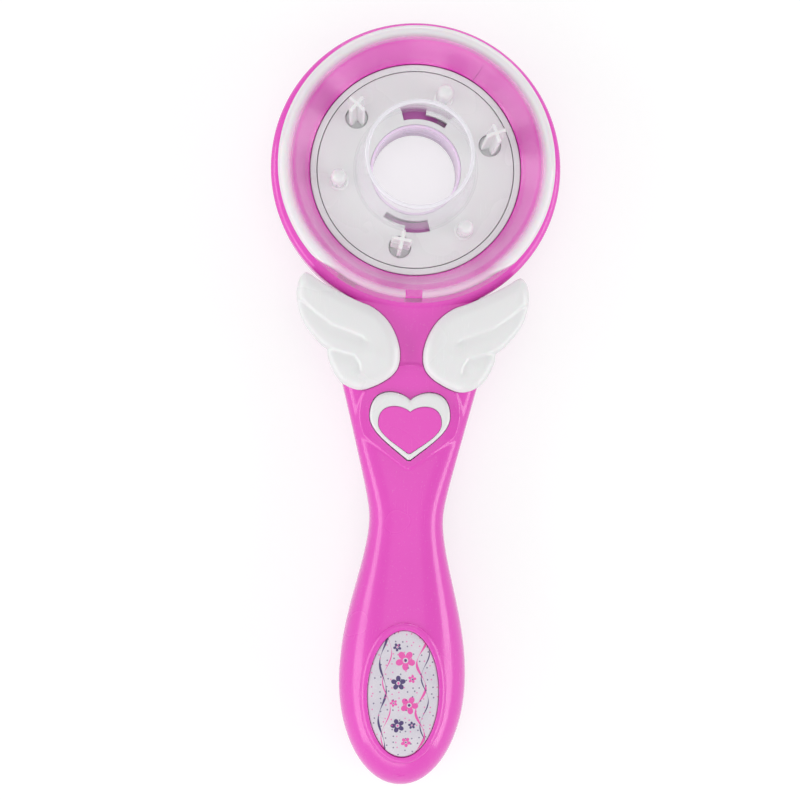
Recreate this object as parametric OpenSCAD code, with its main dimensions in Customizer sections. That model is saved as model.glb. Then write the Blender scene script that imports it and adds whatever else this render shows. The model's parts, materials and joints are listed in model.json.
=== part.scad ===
// Hand-held automatic hair braider, lying on its back.
// Origin: centre of the hair hole at the flat back face. +Z is the front, +Y the head end.

/* [Hair hole] */
// Radius of the hole that the hair runs through
hole_r = 13.5; // [12.5:0.1:14]
// Wall of the fixed sleeve round the hole
sleeve_wall = 0.8; // [0.7:0.1:1]
// Radial running clearance of every bearing
run_gap = 0.05; // [0.03:0.01:0.08]

/* [Rotor] */
// Wall of the rotor's hub
hub_wall = 1.65; // [1.4:0.05:1.8]
// Thickness of the rotor plate
plate_t = 2; // [1.6:0.1:2.4]
// Height of the open space between the carrier ring and the rotor plate
plate_drop = 2; // [1.8:0.1:2.6]
// Land between the ring of spindles and the plate's edge
rim_land = 6.15; // [5.8:0.05:7]
// Narrow width of the bayonet slots
slot_w = 1.7; // [1.5:0.1:1.9]
// Extra width of the wide end of a bayonet slot
slot_step = 2; // [1.8:0.1:2.2]
// Angle that each end of a bayonet slot takes
slot_angle = 24; // [22:1:26]
// Radius of a dome-topped guide pin
pin_r = 2.5; // [2:0.1:3]
// Height of a guide pin above the plate
pin_h = 10.8; // [8:0.2:12]

/* [Spindles] */
// Height of a spindle post above the plate
post_h = 22; // [16:1:26]
// Half span of the post's cross arms
post_half = 3.1; // [2.8:0.1:3.4]
// Thickness of a cross arm
post_arm = 1.2; // [1:0.1:1.5]
// Direction of the first spindle
post_angle = 20; // [15:1:25]

/* [Gears] */
// Module of the ring, sun, planet and drive gears
ring_m = 0.8; // [0.78:0.01:0.82]
// Teeth of the fixed sun gear
sun_teeth = 48; // [47:1:49]
// Teeth of each planet gear
planet_teeth = 14; // [13:1:15]
// Teeth of the small gear that drives the ring
drive_teeth = 12; // [11:1:13]
// Module of the motor's reduction gears
fine_m = 0.5; // [0.48:0.01:0.52]
// Teeth of the drive gear's wheel
drive_wheel_teeth = 24; // [22:1:25]
// Teeth of the idler's wheel
idler_wheel_teeth = 46; // [45:1:47]
// Teeth of the idler's pinion and of the motor pinion
pinion_teeth = 10; // [10:1:11]

/* [Clear parts] */
// Height of the clear tube above the plate
tube_h = 30; // [24:1:34]
// Wall of the clear tube
tube_wall = 1.6; // [1.4:0.1:2]
// How far the clear tube draws in towards its rim
tube_draft = 2.5; // [1.5:0.1:3]
// Width of the ring under the clear cover
cover_w = 9; // [8.6:0.1:10]
// Height of the clear cover above the deck
cover_h = 7.5; // [6:0.1:9]
// Wall of the clear cover
cover_wall = 1.3; // [1.1:0.1:1.5]

/* [Casing] */
// Wall of the casing halves
wall = 1.8; // [1.6:0.1:2]
// Width of the bezel ring
bezel_w = 1.95; // [1.7:0.05:2.2]
// Width of the deck outside the clear cover
deck_w = 3.2; // [2.8:0.1:4]
// Height of the deck above the rotor plate
deck_rise = 5.5; // [5:0.1:6]
// Height of the joint between the casing halves
part_z = 11.5; // [11.2:0.1:12]
// Rounding of the head's back edge
back_round = 7.4; // [6:0.2:8]

/* [Handle] */
// Half width of the neck under the wings
neck_w = 21.8; // [21:0.1:23]
// Distance from the head's edge to the waist
neck_l = 65.4; // [64:0.2:70]
// Half width of the waist
waist_w = 11.7; // [11.2:0.1:13]
// Distance from the waist to the widest point of the grip
grip_l = 50.2; // [49:0.2:54]
// Half width of the grip
grip_w = 20; // [19:0.1:22]
// Length of the rounded tail
tail_l = 33.5; // [32:0.5:38]
// Depth of the neck in front of the joint
neck_front = 8.8; // [8.6:0.1:9.2]
// Depth of the waist in front of the joint
waist_front = 10; // [9:0.1:11]
// Depth of the grip in front of the joint
grip_front = 14.5; // [13:0.1:16]

/* [Wings and heart] */
// Gap between the two wings
wing_gap = 7.2; // [6:0.2:10]
// Width of a wing
wing_w = 32.5; // [31:0.5:34]
// Length of a wing
wing_l = 35.9; // [34:0.5:37]
// Height of a wing above the neck
wing_h = 4.3; // [3:0.1:5]
// Width of the heart button
heart_w = 25; // [23:0.5:26]
// Length of the heart button
heart_l = 21.1; // [20:0.1:22]
// Height of the heart button above the neck
heart_h = 2; // [1.6:0.1:2.6]
// Press travel of the heart button
press = 1; // [0.8:0.1:1.1]
// Gap round the heart button
heart_gap = 0.35; // [0.3:0.05:0.5]

/* [Label] */
// Half width of the oval label
label_a = 11; // [9:0.5:12]
// Half length of the oval label
label_b = 19.6; // [16:0.2:20]
// Thickness of the label
label_t = 0.6; // [0.5:0.1:0.8]
// Width of the raised border round the label
border_w = 1.8; // [1.4:0.1:2.2]

/* [Motor and cells] */
// Radius of the motor can
motor_r = 12.2; // [12:0.1:12.4]
// Height of the motor can
motor_h = 11.8; // [11:0.1:11.9]
// Radius of a cell
cell_r = 5.25; // [5:0.05:5.3]
// Length of a cell with its cap
cell_l = 44.5; // [44:0.1:45]

/* [Hidden] */

$fn = 96;
skin = 0.02;              // overlap that merges two solids of one piece
part_gap = 0.3;           // gap between pieces that move past each other
fit_gap = 0.1;            // gap of a seat inside one body

// Radii, from the hair hole outwards
sleeve_r = hole_r + sleeve_wall;
hub_in = sleeve_r + run_gap;
hub_r = hub_in + hub_wall;
slot_in = hub_r + 0.1;
slot_out = slot_in + slot_w;
slot_wide = slot_out + slot_step;
slot_start = 57;          // direction in which the first bayonet slot starts
hook_angle = slot_angle - 4;
tube_r = slot_wide - 0.4;
post_ring = ring_m * (sun_teeth + planet_teeth) / 2;
post_hole = post_half + 0.35;
thrust_r = post_half + 1;  // flange that holds a post under the plate
plate_r = post_ring + rim_land;
spigot_w = 2.5;           // width of the plate's downward rim
bezel_in = plate_r + part_gap;
bezel_out = bezel_in + bezel_w;
ledge_in = bezel_in + part_gap;
ring_teeth = 2 * ceil((plate_r + spigot_w) / ring_m);
ring_rim = 5.5;           // width of the carrier ring's rim
cover_r = bezel_out + cover_w;
deck_in = cover_r - 1.8;
head_r = cover_r + deck_w;

// Levels, from the floor upwards
floor_gap = 0.35;         // space under the lowest wheel
wheel_t = 1.5;            // width of the reduction wheels
idler_z = wall + floor_gap;
axle_head_t = 0.4;
drive_z = idler_z + wheel_t + axle_head_t + 0.25;
idler_top = drive_z + wheel_t + 0.2;
planet_z = 4;
planet_t = 3.3;
sun_z = planet_z - 0.4;
root_z = wall / 2;         // posts grow from the middle of the floor
sun_top = planet_z + planet_t + 0.4;
carrier_z = sun_top + part_gap;
carrier_t = 3;
web_t = 1.6;
sleeve_flange_t = 0.8;
plate_under = carrier_z + carrier_t + plate_drop;
plate_z = plate_under + plate_t;
ledge_z = carrier_z + carrier_t + 0.6;
bezel_z = plate_z - 1.7;
deck_z = plate_z + deck_rise;
deck_t = 2.2;
neck_z = part_z + neck_front;
motor_z = neck_z - wall - fit_gap - motor_h;

// Stations along the handle, measured from the head's centre
loft_s = head_r - 7.4;
waist_s = head_r + neck_l;
grip_s = waist_s + grip_l;

// Gear centres and phases
addendum = 0.8;
dedendum = 1.1;
pressure = 25;
backlash = 0.12;
drive_y = -ring_m * (ring_teeth + drive_teeth) / 2;
drive_tip = ring_m * (drive_teeth / 2 + addendum);
motor_y = drive_y - motor_r - drive_tip - 1.4;
idler_from_drive = fine_m * (pinion_teeth + drive_wheel_teeth) / 2;
idler_from_motor = fine_m * (idler_wheel_teeth + pinion_teeth) / 2;
train_l = drive_y - motor_y;
idler_drop = (idler_from_drive^2 - idler_from_motor^2 + train_l^2) / (2 * train_l);
idler_x = sqrt(idler_from_drive^2 - idler_drop^2);
idler_y = drive_y - idler_drop;
drive_to_idler = atan2(idler_y - drive_y, idler_x);
idler_to_motor = atan2(motor_y - idler_y, -idler_x);
post_angles = [for (i = [0:2]) post_angle + 120 * i];
axle_r = 0.75;
wire_r = 0.55;
drive_axle_r = 1;
spindle_r = 2;

// Fasteners
screw_r = 1.2;
screw_head_r = 2.4;
screw_head_h = 1.8;
screw_seat = 5;           // depth of the counterbore in the back
boss_r = 3.7;
nut_boss_r = 2.8;
head_boss_ring = head_r - wall - boss_r - 0.7;
waist_boss_y = -waist_s + 6.8;
tail_boss_y = -grip_s - tail_l * 0.78;
boss_places = concat(
    [for (a = [30, 90, 150]) head_boss_ring * [cos(a), sin(a)]],
    [[0, waist_boss_y], [0, tail_boss_y]]);
rotor_screw_ring = plate_r - spigot_w / 2;
bridge_posts = [[-9, drive_y - 2.6], [18.5, drive_y + 1.4]];
bridge_z = part_z + 0.4;
bridge_t = 1.5;

// Heart, switch, label and battery bay
heart_y = motor_y - motor_r - 0.75;
switch_y = heart_y - heart_l / 2;
heart_top = neck_z + heart_h;
flange_t = 1.3;
flange_z = neck_z - wall - part_gap - flange_t;
board_z = 8.8;
board_t = 1.2;
switch_h = 3.5;
plunger_r = 1.7;
board_half = [11, 9];      // half width and half length of the circuit board
stem_z = board_z + board_t + switch_h + press + 0.3;
label_y = -grip_s - 2.4;
door_z = 0.2;
cell_z = door_z + wall + 0.4 + cell_r;
cell_x = cell_r + 0.35;
door_w = cell_x + cell_r + 0.65;
contact_t = 0.4;
contact_half = 3.6;
contact_side = 4.4;       // room beside the contacts inside the tail
spring_room = 1.9;
tail_wall_y = -grip_s - (tail_l - wall)
    * sqrt(1 - ((cell_x + contact_half + contact_side) / (grip_w - wall))^2);
cell_end_y = tail_wall_y + contact_t + spring_room;
cell_top_y = cell_end_y + cell_l;
bay_y = cell_top_y + contact_t + 0.3;
door_top_y = bay_y + 6;
door_l = door_top_y - cell_end_y + 1;
door_screw_y = bay_y + 3.4;

// ---- shared functions ----
function mix(a, b, t) = a + (b - a) * t;
function ease(t) = let (c = min(max(t, 0), 1)) c * c * (3 - 2 * c);
function sgn(v) = v < 0 ? -1 : 1;
function arc(cx, cy, rx, ry, from, to, n) =
    [for (i = [0:n]) let (a = mix(from, to, i / n)) [cx + rx * cos(a), cy + ry * sin(a)]];
function ellipse(a, b, n = 64) = [for (i = [0:n - 1]) [a * cos(360 * i / n), b * sin(360 * i / n)]];
function bezier(p, t) = let (u = 1 - t)
    u^3 * p[0] + 3 * u^2 * t * p[1] + 3 * u * t^2 * p[2] + t^3 * p[3];
function catmull(p, t) = 0.5 * (2 * p[1] + (p[2] - p[0]) * t
    + (2 * p[0] - 5 * p[1] + 4 * p[2] - p[3]) * t^2 + (3 * p[1] - p[0] - 3 * p[2] + p[3]) * t^3);

// Heart outline of width w and length l, lobe tops at y = 0, tip at y = -l
function heart_half(w, l) = concat(
    [for (i = [0:9]) bezier([[0, -0.11], [0.13, 0.05], [0.5, 0.1], [0.5, -0.345]], i / 10)],
    [for (i = [0:9]) bezier([[0.5, -0.345], [0.5, -0.58], [0.25, -0.765], [0.02, -0.99]], i / 9)]);
function heart(w, l) = let (h = heart_half(w, l), n = len(h))
    concat([for (p = h) [p[0] * w, p[1] * l]],
        [for (i = [n - 1:-1:1]) [-h[i][0] * w, h[i][1] * l]]);

// Involute gear outline with z teeth of module m, one tooth centred on +X
function inv(r, rb) = r <= rb ? 0 : tan(acos(rb / r)) * 180 / PI - acos(rb / r);
function tooth_half(r, z, m) = let (rp = m * z / 2, rb = rp * cos(pressure))
    90 / z - backlash / 2 / rp * 180 / PI / 2 + inv(rp, rb) - inv(r, rb);
function tooth(z, m) = let (root = m * (z / 2 - dedendum), tip = m * (z / 2 + addendum),
        base = max(root + 0.02, m * z / 2 * cos(pressure)))
    concat([[root, -tooth_half(base, z, m)]],
        [for (i = [0:3]) let (r = mix(base, tip, i / 3)) [r, -tooth_half(r, z, m)]],
        [for (i = [3:-1:0]) let (r = mix(base, tip, i / 3)) [r, tooth_half(r, z, m)]],
        [[root, tooth_half(base, z, m)]]);
function gear(z, m) = let (t = tooth(z, m))
    [for (k = [0:z - 1], p = t) let (a = p[1] + 360 * k / z) p[0] * [cos(a), sin(a)]];
// Phase of gear 2 in mesh with gear 1, whose phase is a1, when gear 2 lies in direction dir
function mesh_phase(z1, a1, dir, z2) = dir + 180 - (180 - z1 * (dir - a1)) / z2;

// Handle sections: half width and depths at station s, inset by the given amount
function tail(s, inset, power) = s <= grip_s ? 1
    : pow(max(0, 1 - pow((s - grip_s) / (tail_l - inset), power)), 0.5);
function half_width(s, inset) = let (t = max(0, s - waist_s) / grip_l, away = waist_s - s, bend = 6)
    s <= waist_s ? min(neck_w, waist_w + 0.26 * (sqrt(away^2 + bend^2) - bend)) - inset
    : s <= grip_s ? mix(waist_w, grip_w, sin(90 * pow(t, 0.85))^2) - inset
    : (grip_w - inset) * tail(s, inset, 2);
function front_depth(s, inset) = let (
        neck_t = (s - head_r - neck_l / 2) / (neck_l / 2), grip_t = (s - waist_s) / grip_l * 1.15)
    (mix(neck_front, mix(waist_front, grip_front, ease(grip_t)), ease(neck_t)) - inset)
        * tail(s, inset, 3);
function back_depth(s, inset) = let (neck_t = (s - head_r - neck_l * 0.65) / (neck_l * 0.35),
        grip_t = (s - waist_s) / grip_l * 1.85)
    (mix(part_z + 2, mix(8.5, part_z + 5.5, ease(grip_t)), ease(neck_t)) - inset)
        * tail(s, inset, 2);
function front_power(s) = mix(4, mix(2.6, 2.3, ease((s - waist_s) / grip_l)),
    ease((s - head_r - neck_l * 0.4) / (neck_l * 0.6)));
function back_power(s) = mix(5, 3, ease((s - head_r - neck_l * 0.4) / (neck_l * 0.6)));
// One half ring of the handle at station s; side is 1 in front of the joint and -1 behind it
function half_ring(s, inset, side, skirt, n = 14) = let (
        w = half_width(s, inset), power = side > 0 ? front_power(s) : back_power(s),
        h = side > 0 ? front_depth(s, inset) : back_depth(s, inset), low = max(0, inset))
    concat(
        skirt > 0 ? [[w, -s, part_z - side * skirt]] : [],
        [for (i = [0:n]) let (a = 180 * i / n, c = i == 0 || i == n ? 0 : abs(sin(a))^(2 / power),
                z = part_z + side * h * c)
            [w * sgn(cos(a)) * abs(cos(a))^(2 / power), -s, max(low, z)]],
        skirt > 0 ? [[-w, -s, part_z - side * skirt]] : []);
function stations(inset, from) = concat(
    [for (i = [0:18]) mix(from, grip_s, i / 18)],
    [for (i = [1:6]) grip_s + (tail_l - inset) * sin(86 * i / 6)]);
// Triangles over n rings of p points each, with flat ends
function ring_faces(n, p, flip) = let (
        sides = [for (i = [0:n - 2], j = [0:p - 1]) let (a = i * p + j, b = i * p + (j + 1) % p)
            each [[a, b, b + p], [a, b + p, a + p]]],
        ends = [[for (j = [p - 1:-1:0]) j], [for (j = [0:p - 1]) (n - 1) * p + j]],
        all = concat(sides, ends))
    flip ? all : [for (f = all) [for (k = [len(f) - 1:-1:0]) f[k]]];

// Half of the handle as a solid; skirt carries it past the joint so that it can cut
module half_handle(inset, side, skirt = 0, from = loft_s) {
    rows = [for (s = stations(max(0, inset), from)) half_ring(s, inset, side, skirt)];
    polyhedron([for (r = rows) each r], ring_faces(len(rows), len(rows[0]), side < 0), convexity = 4);
}

// Round wire that runs mainly along Y, through the given points
module wire(points, r, sides = 8) {
    rows = [for (p = points) [for (j = [0:sides - 1])
        p + r * [cos(360 * j / sides), 0, sin(360 * j / sides)]]];
    polyhedron([for (q = rows) each q], ring_faces(len(rows), sides, points[0][1] < points[1][1]),
        convexity = 4);
}

// Coil spring along +Z on the given base, closed by its flat cut ends
module coil(r, wire_r, length, turns, steps = 16, sides = 6) {
    n = turns * steps;
    rows = [for (i = [0:n]) let (a = 360 * i / steps,
            z = wire_r + (length - 2 * wire_r) * i / n)
        [for (j = [0:sides - 1]) let (b = 360 * j / sides, q = r + wire_r * cos(b))
            [q * cos(a), q * sin(a), z + wire_r * sin(b)]]];
    polyhedron([for (q = rows) each q], ring_faces(n + 1, sides, true), convexity = 8);
}

module ring(r_out, r_in, z0, h) {
    translate([0, 0, z0]) difference() {
        cylinder(r = r_out, h = h);
        translate([0, 0, -1]) cylinder(r = r_in, h = h + 2);
    }
}

module disc(x, y, z0, r, h, fn = 48) {
    translate([x, y, z0]) cylinder(r = r, h = h, $fn = fn);
}

module plate(x0, x1, y0, y1, z0, z1) {
    translate([x0, y0, z0]) cube([x1 - x0, y1 - y0, z1 - z0]);
}

module gear_solid(z, m, phase, z0, h, bore) {
    translate([0, 0, z0]) difference() {
        rotate([0, 0, phase]) linear_extrude(height = h) polygon(gear(z, m));
        translate([0, 0, -1]) cylinder(r = bore, h = h + 2, $fn = 48);
    }
}

// ---- casing ----
module front_head() {
    edge = 2;
    under = bezel_out + 0.6;
    rotate_extrude() polygon(concat(
        [[head_r, part_z]],
        arc(head_r - edge, deck_z - edge, edge, edge, 0, 90, 5),
        [[deck_in, deck_z], [bezel_out + 0.25, plate_z], [bezel_out + 0.25, bezel_z],
            [ledge_in, bezel_z], [ledge_in, ledge_z], [under, ledge_z],
            [deck_in, deck_z - deck_t], [head_r - wall, deck_z - deck_t], [head_r - wall, part_z]]));
}

// Air over the dish between the bezel and the deck
module dish_air() {
    rotate_extrude() polygon([[0, bezel_z], [bezel_out + 0.25, bezel_z], [bezel_out + 0.25, plate_z],
        [deck_in, deck_z], [deck_in, deck_z + 5], [0, deck_z + 5]]);
}

// Air inside the front half of the head
module head_air() {
    under = bezel_out + 0.6;
    rotate_extrude() polygon([[0, part_z - 1], [head_r - wall, part_z - 1],
        [head_r - wall, deck_z - deck_t], [deck_in, deck_z - deck_t], [under, ledge_z],
        [ledge_in, ledge_z], [ledge_in, bezel_z + 1], [0, bezel_z + 1]]);
}

module heart_prism(w, l, z0, z1) {
    translate([0, heart_y, z0]) linear_extrude(height = z1 - z0)
        polygon(heart(w, l));
}

module grown_heart(grow, z0, z1) {
    translate([0, grow, 0]) heart_prism(heart_w + 2 * grow, heart_l + 2.6 * grow, z0, z1);
}

// Raised field round the heart, pointed towards the grip and stopped at the wings
module heart_field() {
    r = heart_w / 2 + 3.3;
    tip = heart_l + 2.6;
    intersection() {
        half_handle(-0.45, 1);
        translate([0, 0, neck_z - 3]) linear_extrude(height = 6) difference() {
            translate([0, heart_y]) polygon(concat(arc(0, -7, r, r, 205, -25, 24),
                [[r * 0.62, -tip * 0.7], [0, -tip], [-r * 0.62, -tip * 0.7]]));
            for (side = [0, 1]) mirror([side, 0]) offset(delta = part_gap) polygon(wing_outline());
        }
    }
}

module label_prism(grow, z0 = part_z + 4) {
    translate([0, label_y, z0]) linear_extrude(height = 20)
        polygon(ellipse(label_a + grow, label_b + grow));
}

module label_border() {
    intersection() {
        half_handle(-0.8, 1);
        label_prism(border_w);
    }
}

module label_pocket() {
    difference() {
        label_prism(0.15);
        half_handle(label_t, 1, 1);
    }
}

module cover_tabs(gap, z0) {
    for (a = [0, 120, 240]) rotate([0, 0, a])
        plate(cover_r - cover_wall - gap, cover_r - 0.2 + gap, -3 - gap, 3 + gap, z0, deck_z + 1);
}

module front_bosses() {
    for (p = boss_places) {
        top = norm(p) < head_r ? deck_z - 1.5
            : part_z + front_depth(norm(p), wall) + 0.6;
        disc(p[0], p[1], part_z, nut_boss_r, top - part_z);
    }
}

module front_casing() {
    color("orchid") difference() {
        union() {
            difference() {
                union() {
                    front_head();
                    half_handle(0, 1);
                    heart_field();
                    label_border();
                }
                head_air();
                half_handle(wall, 1, 1, loft_s - 4);
            }
            front_bosses();
        }
        dish_air();
        label_pocket();
        grown_heart(heart_gap, neck_z - 5, neck_z + 5);
        cover_tabs(0.15, deck_z - deck_t - 1);
        for (p = boss_places) disc(p[0], p[1], part_z - 1, screw_r + 0.02, 5.6);
        wing_pegs(0.03, neck_z - wall - 1);
    }
}

// Solid behind the joint, inset from the head's outside
module back_head_solid(r_in, inset, top) {
    r = back_round - inset;
    rotate_extrude() polygon(concat(
        [[r_in, inset], [head_r - back_round, inset]],
        arc(head_r - back_round, back_round, r, r, -90, 0, 8),
        [[head_r - inset, top], [r_in, top]]));
}

module bridge_pillars() {
    for (p = bridge_posts) disc(p[0], p[1], root_z, 2.2, bridge_z - root_z);
}

// Half ring and three feet that seat the motor can
module motor_cradle() {
    translate([0, motor_y, root_z]) rotate([0, 0, 200]) rotate_extrude(angle = 140)
        translate([motor_r + fit_gap, 0]) square([1.2, part_z - root_z]);
    for (p = [[-8, 5], [-7.5, -6], [7.5, -8]])
        disc(p[0], motor_y + p[1], root_z, 1.5, motor_z - root_z);
}

module board_posts() {
    for (x = [-1, 1], y = [-1, 1])
        disc(x * (board_half[0] - 2), switch_y + y * (board_half[1] - 2), root_z, 1.4,
            board_z - root_z);
}

module bay_walls() {
    for (y = [bay_y, tail_wall_y - 1.2])
        plate(-cell_x - cell_r, cell_x + cell_r, y, y + 1.2, root_z, part_z);
    disc(0, door_screw_y, wall + 0.3, 2.5, 5);
}

module idler_seat() {
    disc(idler_x, idler_y, root_z, 2.4, idler_z - part_gap - root_z);
}

module back_bosses() {
    for (p = boss_places) disc(p[0], p[1], 0.4, boss_r, part_z - 0.4);
}

module door_shape(grow, z0, h) {
    r = 3;
    mid = door_top_y - door_l / 2;
    translate([0, mid, z0]) linear_extrude(height = h) polygon([for (q = [0:3]) each
        arc(q == 0 || q == 3 ? door_w - r : r - door_w, q < 2 ? door_l / 2 - r : r - door_l / 2,
            r + grow, r + grow, 90 * q, 90 * q + 90, 6)]);
}

module back_casing() {
    color("orchid") difference() {
        union() {
            difference() {
                union() {
                    back_head_solid(hub_in, 0, part_z);
                    half_handle(0, -1);
                }
                back_head_solid(0, wall, part_z + 1);
                half_handle(wall, -1, 1, loft_s - 4);
            }
            intersection() {
                union() {
                    back_bosses();
                    bridge_pillars();
                    motor_cradle();
                    board_posts();
                    bay_walls();
                    idler_seat();
                }
                union() {
                    back_head_solid(0, 0.3, part_z + 1);
                    half_handle(0.3, -1, 1);
                }
            }
        }
        for (p = boss_places) {
            disc(p[0], p[1], -1, screw_head_r + 0.3, screw_seat + 1);
            disc(p[0], p[1], screw_seat - 1, screw_r + 0.2, part_z);
        }
        door_shape(part_gap, -1, wall + 1.2);
        disc(0, door_screw_y, wall, 0.85, 4.6, 32);
        for (p = bridge_posts) disc(p[0], p[1], bridge_z - 5, screw_r - 0.18, 6);
        disc(idler_x, idler_y, wall - 1, axle_r + 0.02, 4);
    }
}

// Cross-headed screw along +Z, its seat at z = seat
module screw(x, y, seat, shank_r, shank_l, head_r, head_h) {
    translate([x, y, seat]) {
        cylinder(r = shank_r, h = shank_l, $fn = 32);
        translate([0, 0, -head_h]) difference() {
            cylinder(r = head_r, h = head_h, $fn = 48);
            for (a = [0, 90]) rotate([0, 0, a])
                plate(-head_r * 0.6, head_r * 0.6, -0.3, 0.3, -1, head_h * 0.55);
        }
    }
}

module casing_screws() {
    color("silver") for (p = boss_places)
        screw(p[0], p[1], screw_seat, screw_r, part_z - screw_seat + 4, screw_head_r, screw_head_h);
}

// ---- head ----
module clear_cover() {
    inner_foot = bezel_out + 0.4;
    top = deck_z + cover_h;
    shoulder = 4;
    mid = cover_r - shoulder;
    foot_z = plate_z + 0.5;
    color([0.95, 0.95, 0.98, 0.4]) difference() {
        union() {
            rotate_extrude() polygon(concat(
                [[cover_r, deck_z]],
                arc(mid, top - shoulder, shoulder, shoulder, 0, 90, 8),
                [[mid - 0.8, top - 0.3], [mid - 1.2, top - 1], [inner_foot, foot_z],
                    [inner_foot + cover_wall, foot_z + 1.1], [mid - 0.1, top - cover_wall - 0.2]],
                arc(mid, top - shoulder, shoulder - cover_wall, shoulder - cover_wall, 90, 0, 8),
                [[cover_r - cover_wall, deck_z]]));
            intersection() {
                cover_tabs(0, deck_z - deck_t);
                ring(cover_r - 0.2, cover_r - cover_wall, deck_z - deck_t, deck_t + 0.5);
            }
        }
        plate(-1.3, 1.3, -cover_r - 1, -cover_r + 0.6, deck_z + 1, top);
    }
}

module bezel_ring() {
    edge = 0.3;
    color("white") rotate_extrude() polygon([[bezel_in, bezel_z], [bezel_out, bezel_z],
        [bezel_out, plate_z - edge], [bezel_out - edge, plate_z], [bezel_in + edge, plate_z],
        [bezel_in, plate_z - edge]]);
}

module hair_sleeve() {
    flange_r = hub_in + 2.6;
    color("thistle") rotate_extrude() polygon([[hole_r, 0], [sleeve_r, 0], [sleeve_r, wall],
        [flange_r, wall], [flange_r, wall + sleeve_flange_t], [sleeve_r, wall + sleeve_flange_t],
        [sleeve_r, plate_z], [hole_r, plate_z]]);
}

module sun_gear() {
    base_z = wall + sleeve_flange_t;
    color("orchid") {
        gear_solid(sun_teeth, ring_m, 0, sun_z, sun_top - sun_z, hub_in);
        ring(ring_m * (sun_teeth / 2 - dedendum) - 0.3, hub_in, base_z, sun_z - base_z + skin);
    }
}

// Bayonet slot: a narrow and a wide end on one inner radius
module bayonet_slot() {
    translate([0, 0, plate_under - 1]) {
        rotate_extrude(angle = 2 * slot_angle)
            translate([slot_in, 0]) square([slot_w, plate_t + 2]);
        rotate([0, 0, slot_angle]) rotate_extrude(angle = slot_angle)
            translate([slot_in + slot_w / 2, 0]) square([slot_w / 2 + slot_step, plate_t + 2]);
    }
}

module guide_pin() {
    root = plate_z - plate_t / 2;
    rotate_extrude($fn = 48) polygon(concat([[0, root], [pin_r, root]],
        arc(0, plate_z + pin_h - pin_r, pin_r, pin_r, 0, 90, 6)));
}

// Air round a spindle's thrust flange, between the carrier's web and the plate
module thrust_room() {
    disc(post_ring, 0, carrier_z + web_t, thrust_r + part_gap, plate_under - carrier_z - web_t);
}

module rotor_plate() {
    edge = 0.4;
    color("white") difference() {
        union() {
            rotate_extrude() polygon([[hub_in, carrier_z + part_gap], [hub_r, carrier_z + part_gap],
                [hub_r, plate_under], [plate_r - spigot_w, plate_under],
                [plate_r - spigot_w, carrier_z + carrier_t], [plate_r, carrier_z + carrier_t],
                [plate_r, plate_z - edge], [plate_r - edge, plate_z], [hub_in, plate_z]]);
            for (a = post_angles) rotate([0, 0, a + 50]) translate([post_ring - 0.4, 0, 0])
                guide_pin();
        }
        for (a = post_angles) rotate([0, 0, a]) {
            disc(post_ring, 0, plate_under - 1, post_hole, plate_t + 2);
            thrust_room();
        }
        for (a = [0, 180]) rotate([0, 0, slot_start + a]) bayonet_slot();
        for (a = post_angles) rotate([0, 0, a + 60])
            disc(rotor_screw_ring, 0, carrier_z, screw_r - 0.38, carrier_t + plate_drop + 0.8, 32);
    }
}

module carrier_ring() {
    rim = ring_m * ring_teeth / 2 - ring_rim;
    color("white") difference() {
        union() {
            gear_solid(ring_teeth, ring_m, 0, carrier_z, carrier_t, rim);
            ring(rim + 1, tube_r + 1.4, carrier_z, web_t);
        }
        for (a = post_angles) rotate([0, 0, a]) {
            disc(post_ring, 0, carrier_z - 1, spindle_r + run_gap, carrier_t + 2);
            thrust_room();
        }
        for (a = post_angles) rotate([0, 0, a + 60])
            disc(rotor_screw_ring, 0, carrier_z - 1, 1, carrier_t + 2, 32);
    }
}

module rotor_screws() {
    color("silver") for (a = post_angles) rotate([0, 0, a + 60])
        screw(rotor_screw_ring, 0, carrier_z, 0.8, carrier_t + 2, 1.5, 0.9);
}

// Spindle: splined post, thrust flange and plain shaft for its planet gear
module spindle_post(a) {
    web_top = carrier_z + web_t;
    tip = 0.8;
    rotate([0, 0, a]) translate([post_ring, 0, 0]) {
        disc(0, 0, planet_z - 0.2, spindle_r, web_top + 0.4 - planet_z);
        disc(0, 0, web_top + 0.1, thrust_r, plate_under - web_top - 0.3);
        intersection() {
            for (q = [0, 90]) rotate([0, 0, q])
                plate(-post_half, post_half, -post_arm / 2, post_arm / 2, plate_under - 0.3,
                    plate_z + post_h);
            rotate_extrude($fn = 48) polygon([[0, plate_under - 1], [post_half, plate_under - 1],
                [post_half, plate_z + post_h - 2 * tip], [post_half - tip, plate_z + post_h],
                [0, plate_z + post_h]]);
        }
    }
}

module planet_gear(a) {
    color("white") rotate([0, 0, a]) translate([post_ring, 0, 0])
        gear_solid(planet_teeth, ring_m, mesh_phase(sun_teeth, 0, a, planet_teeth) - a,
            planet_z, planet_t, spindle_r + 0.02);
}

module tube_hook() {
    stem_in = slot_in + 0.3;
    stem_w = slot_w - 0.6;
    toe_z = plate_under - part_gap - 1.3;
    rotate_extrude(angle = hook_angle) polygon([[stem_in, toe_z], [stem_in + stem_w + slot_step, toe_z],
        [stem_in + stem_w + slot_step, plate_under - part_gap], [stem_in + stem_w, plate_under - part_gap],
        [stem_in + stem_w, plate_z + 1], [stem_in, plate_z + 1]]);
}

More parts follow.
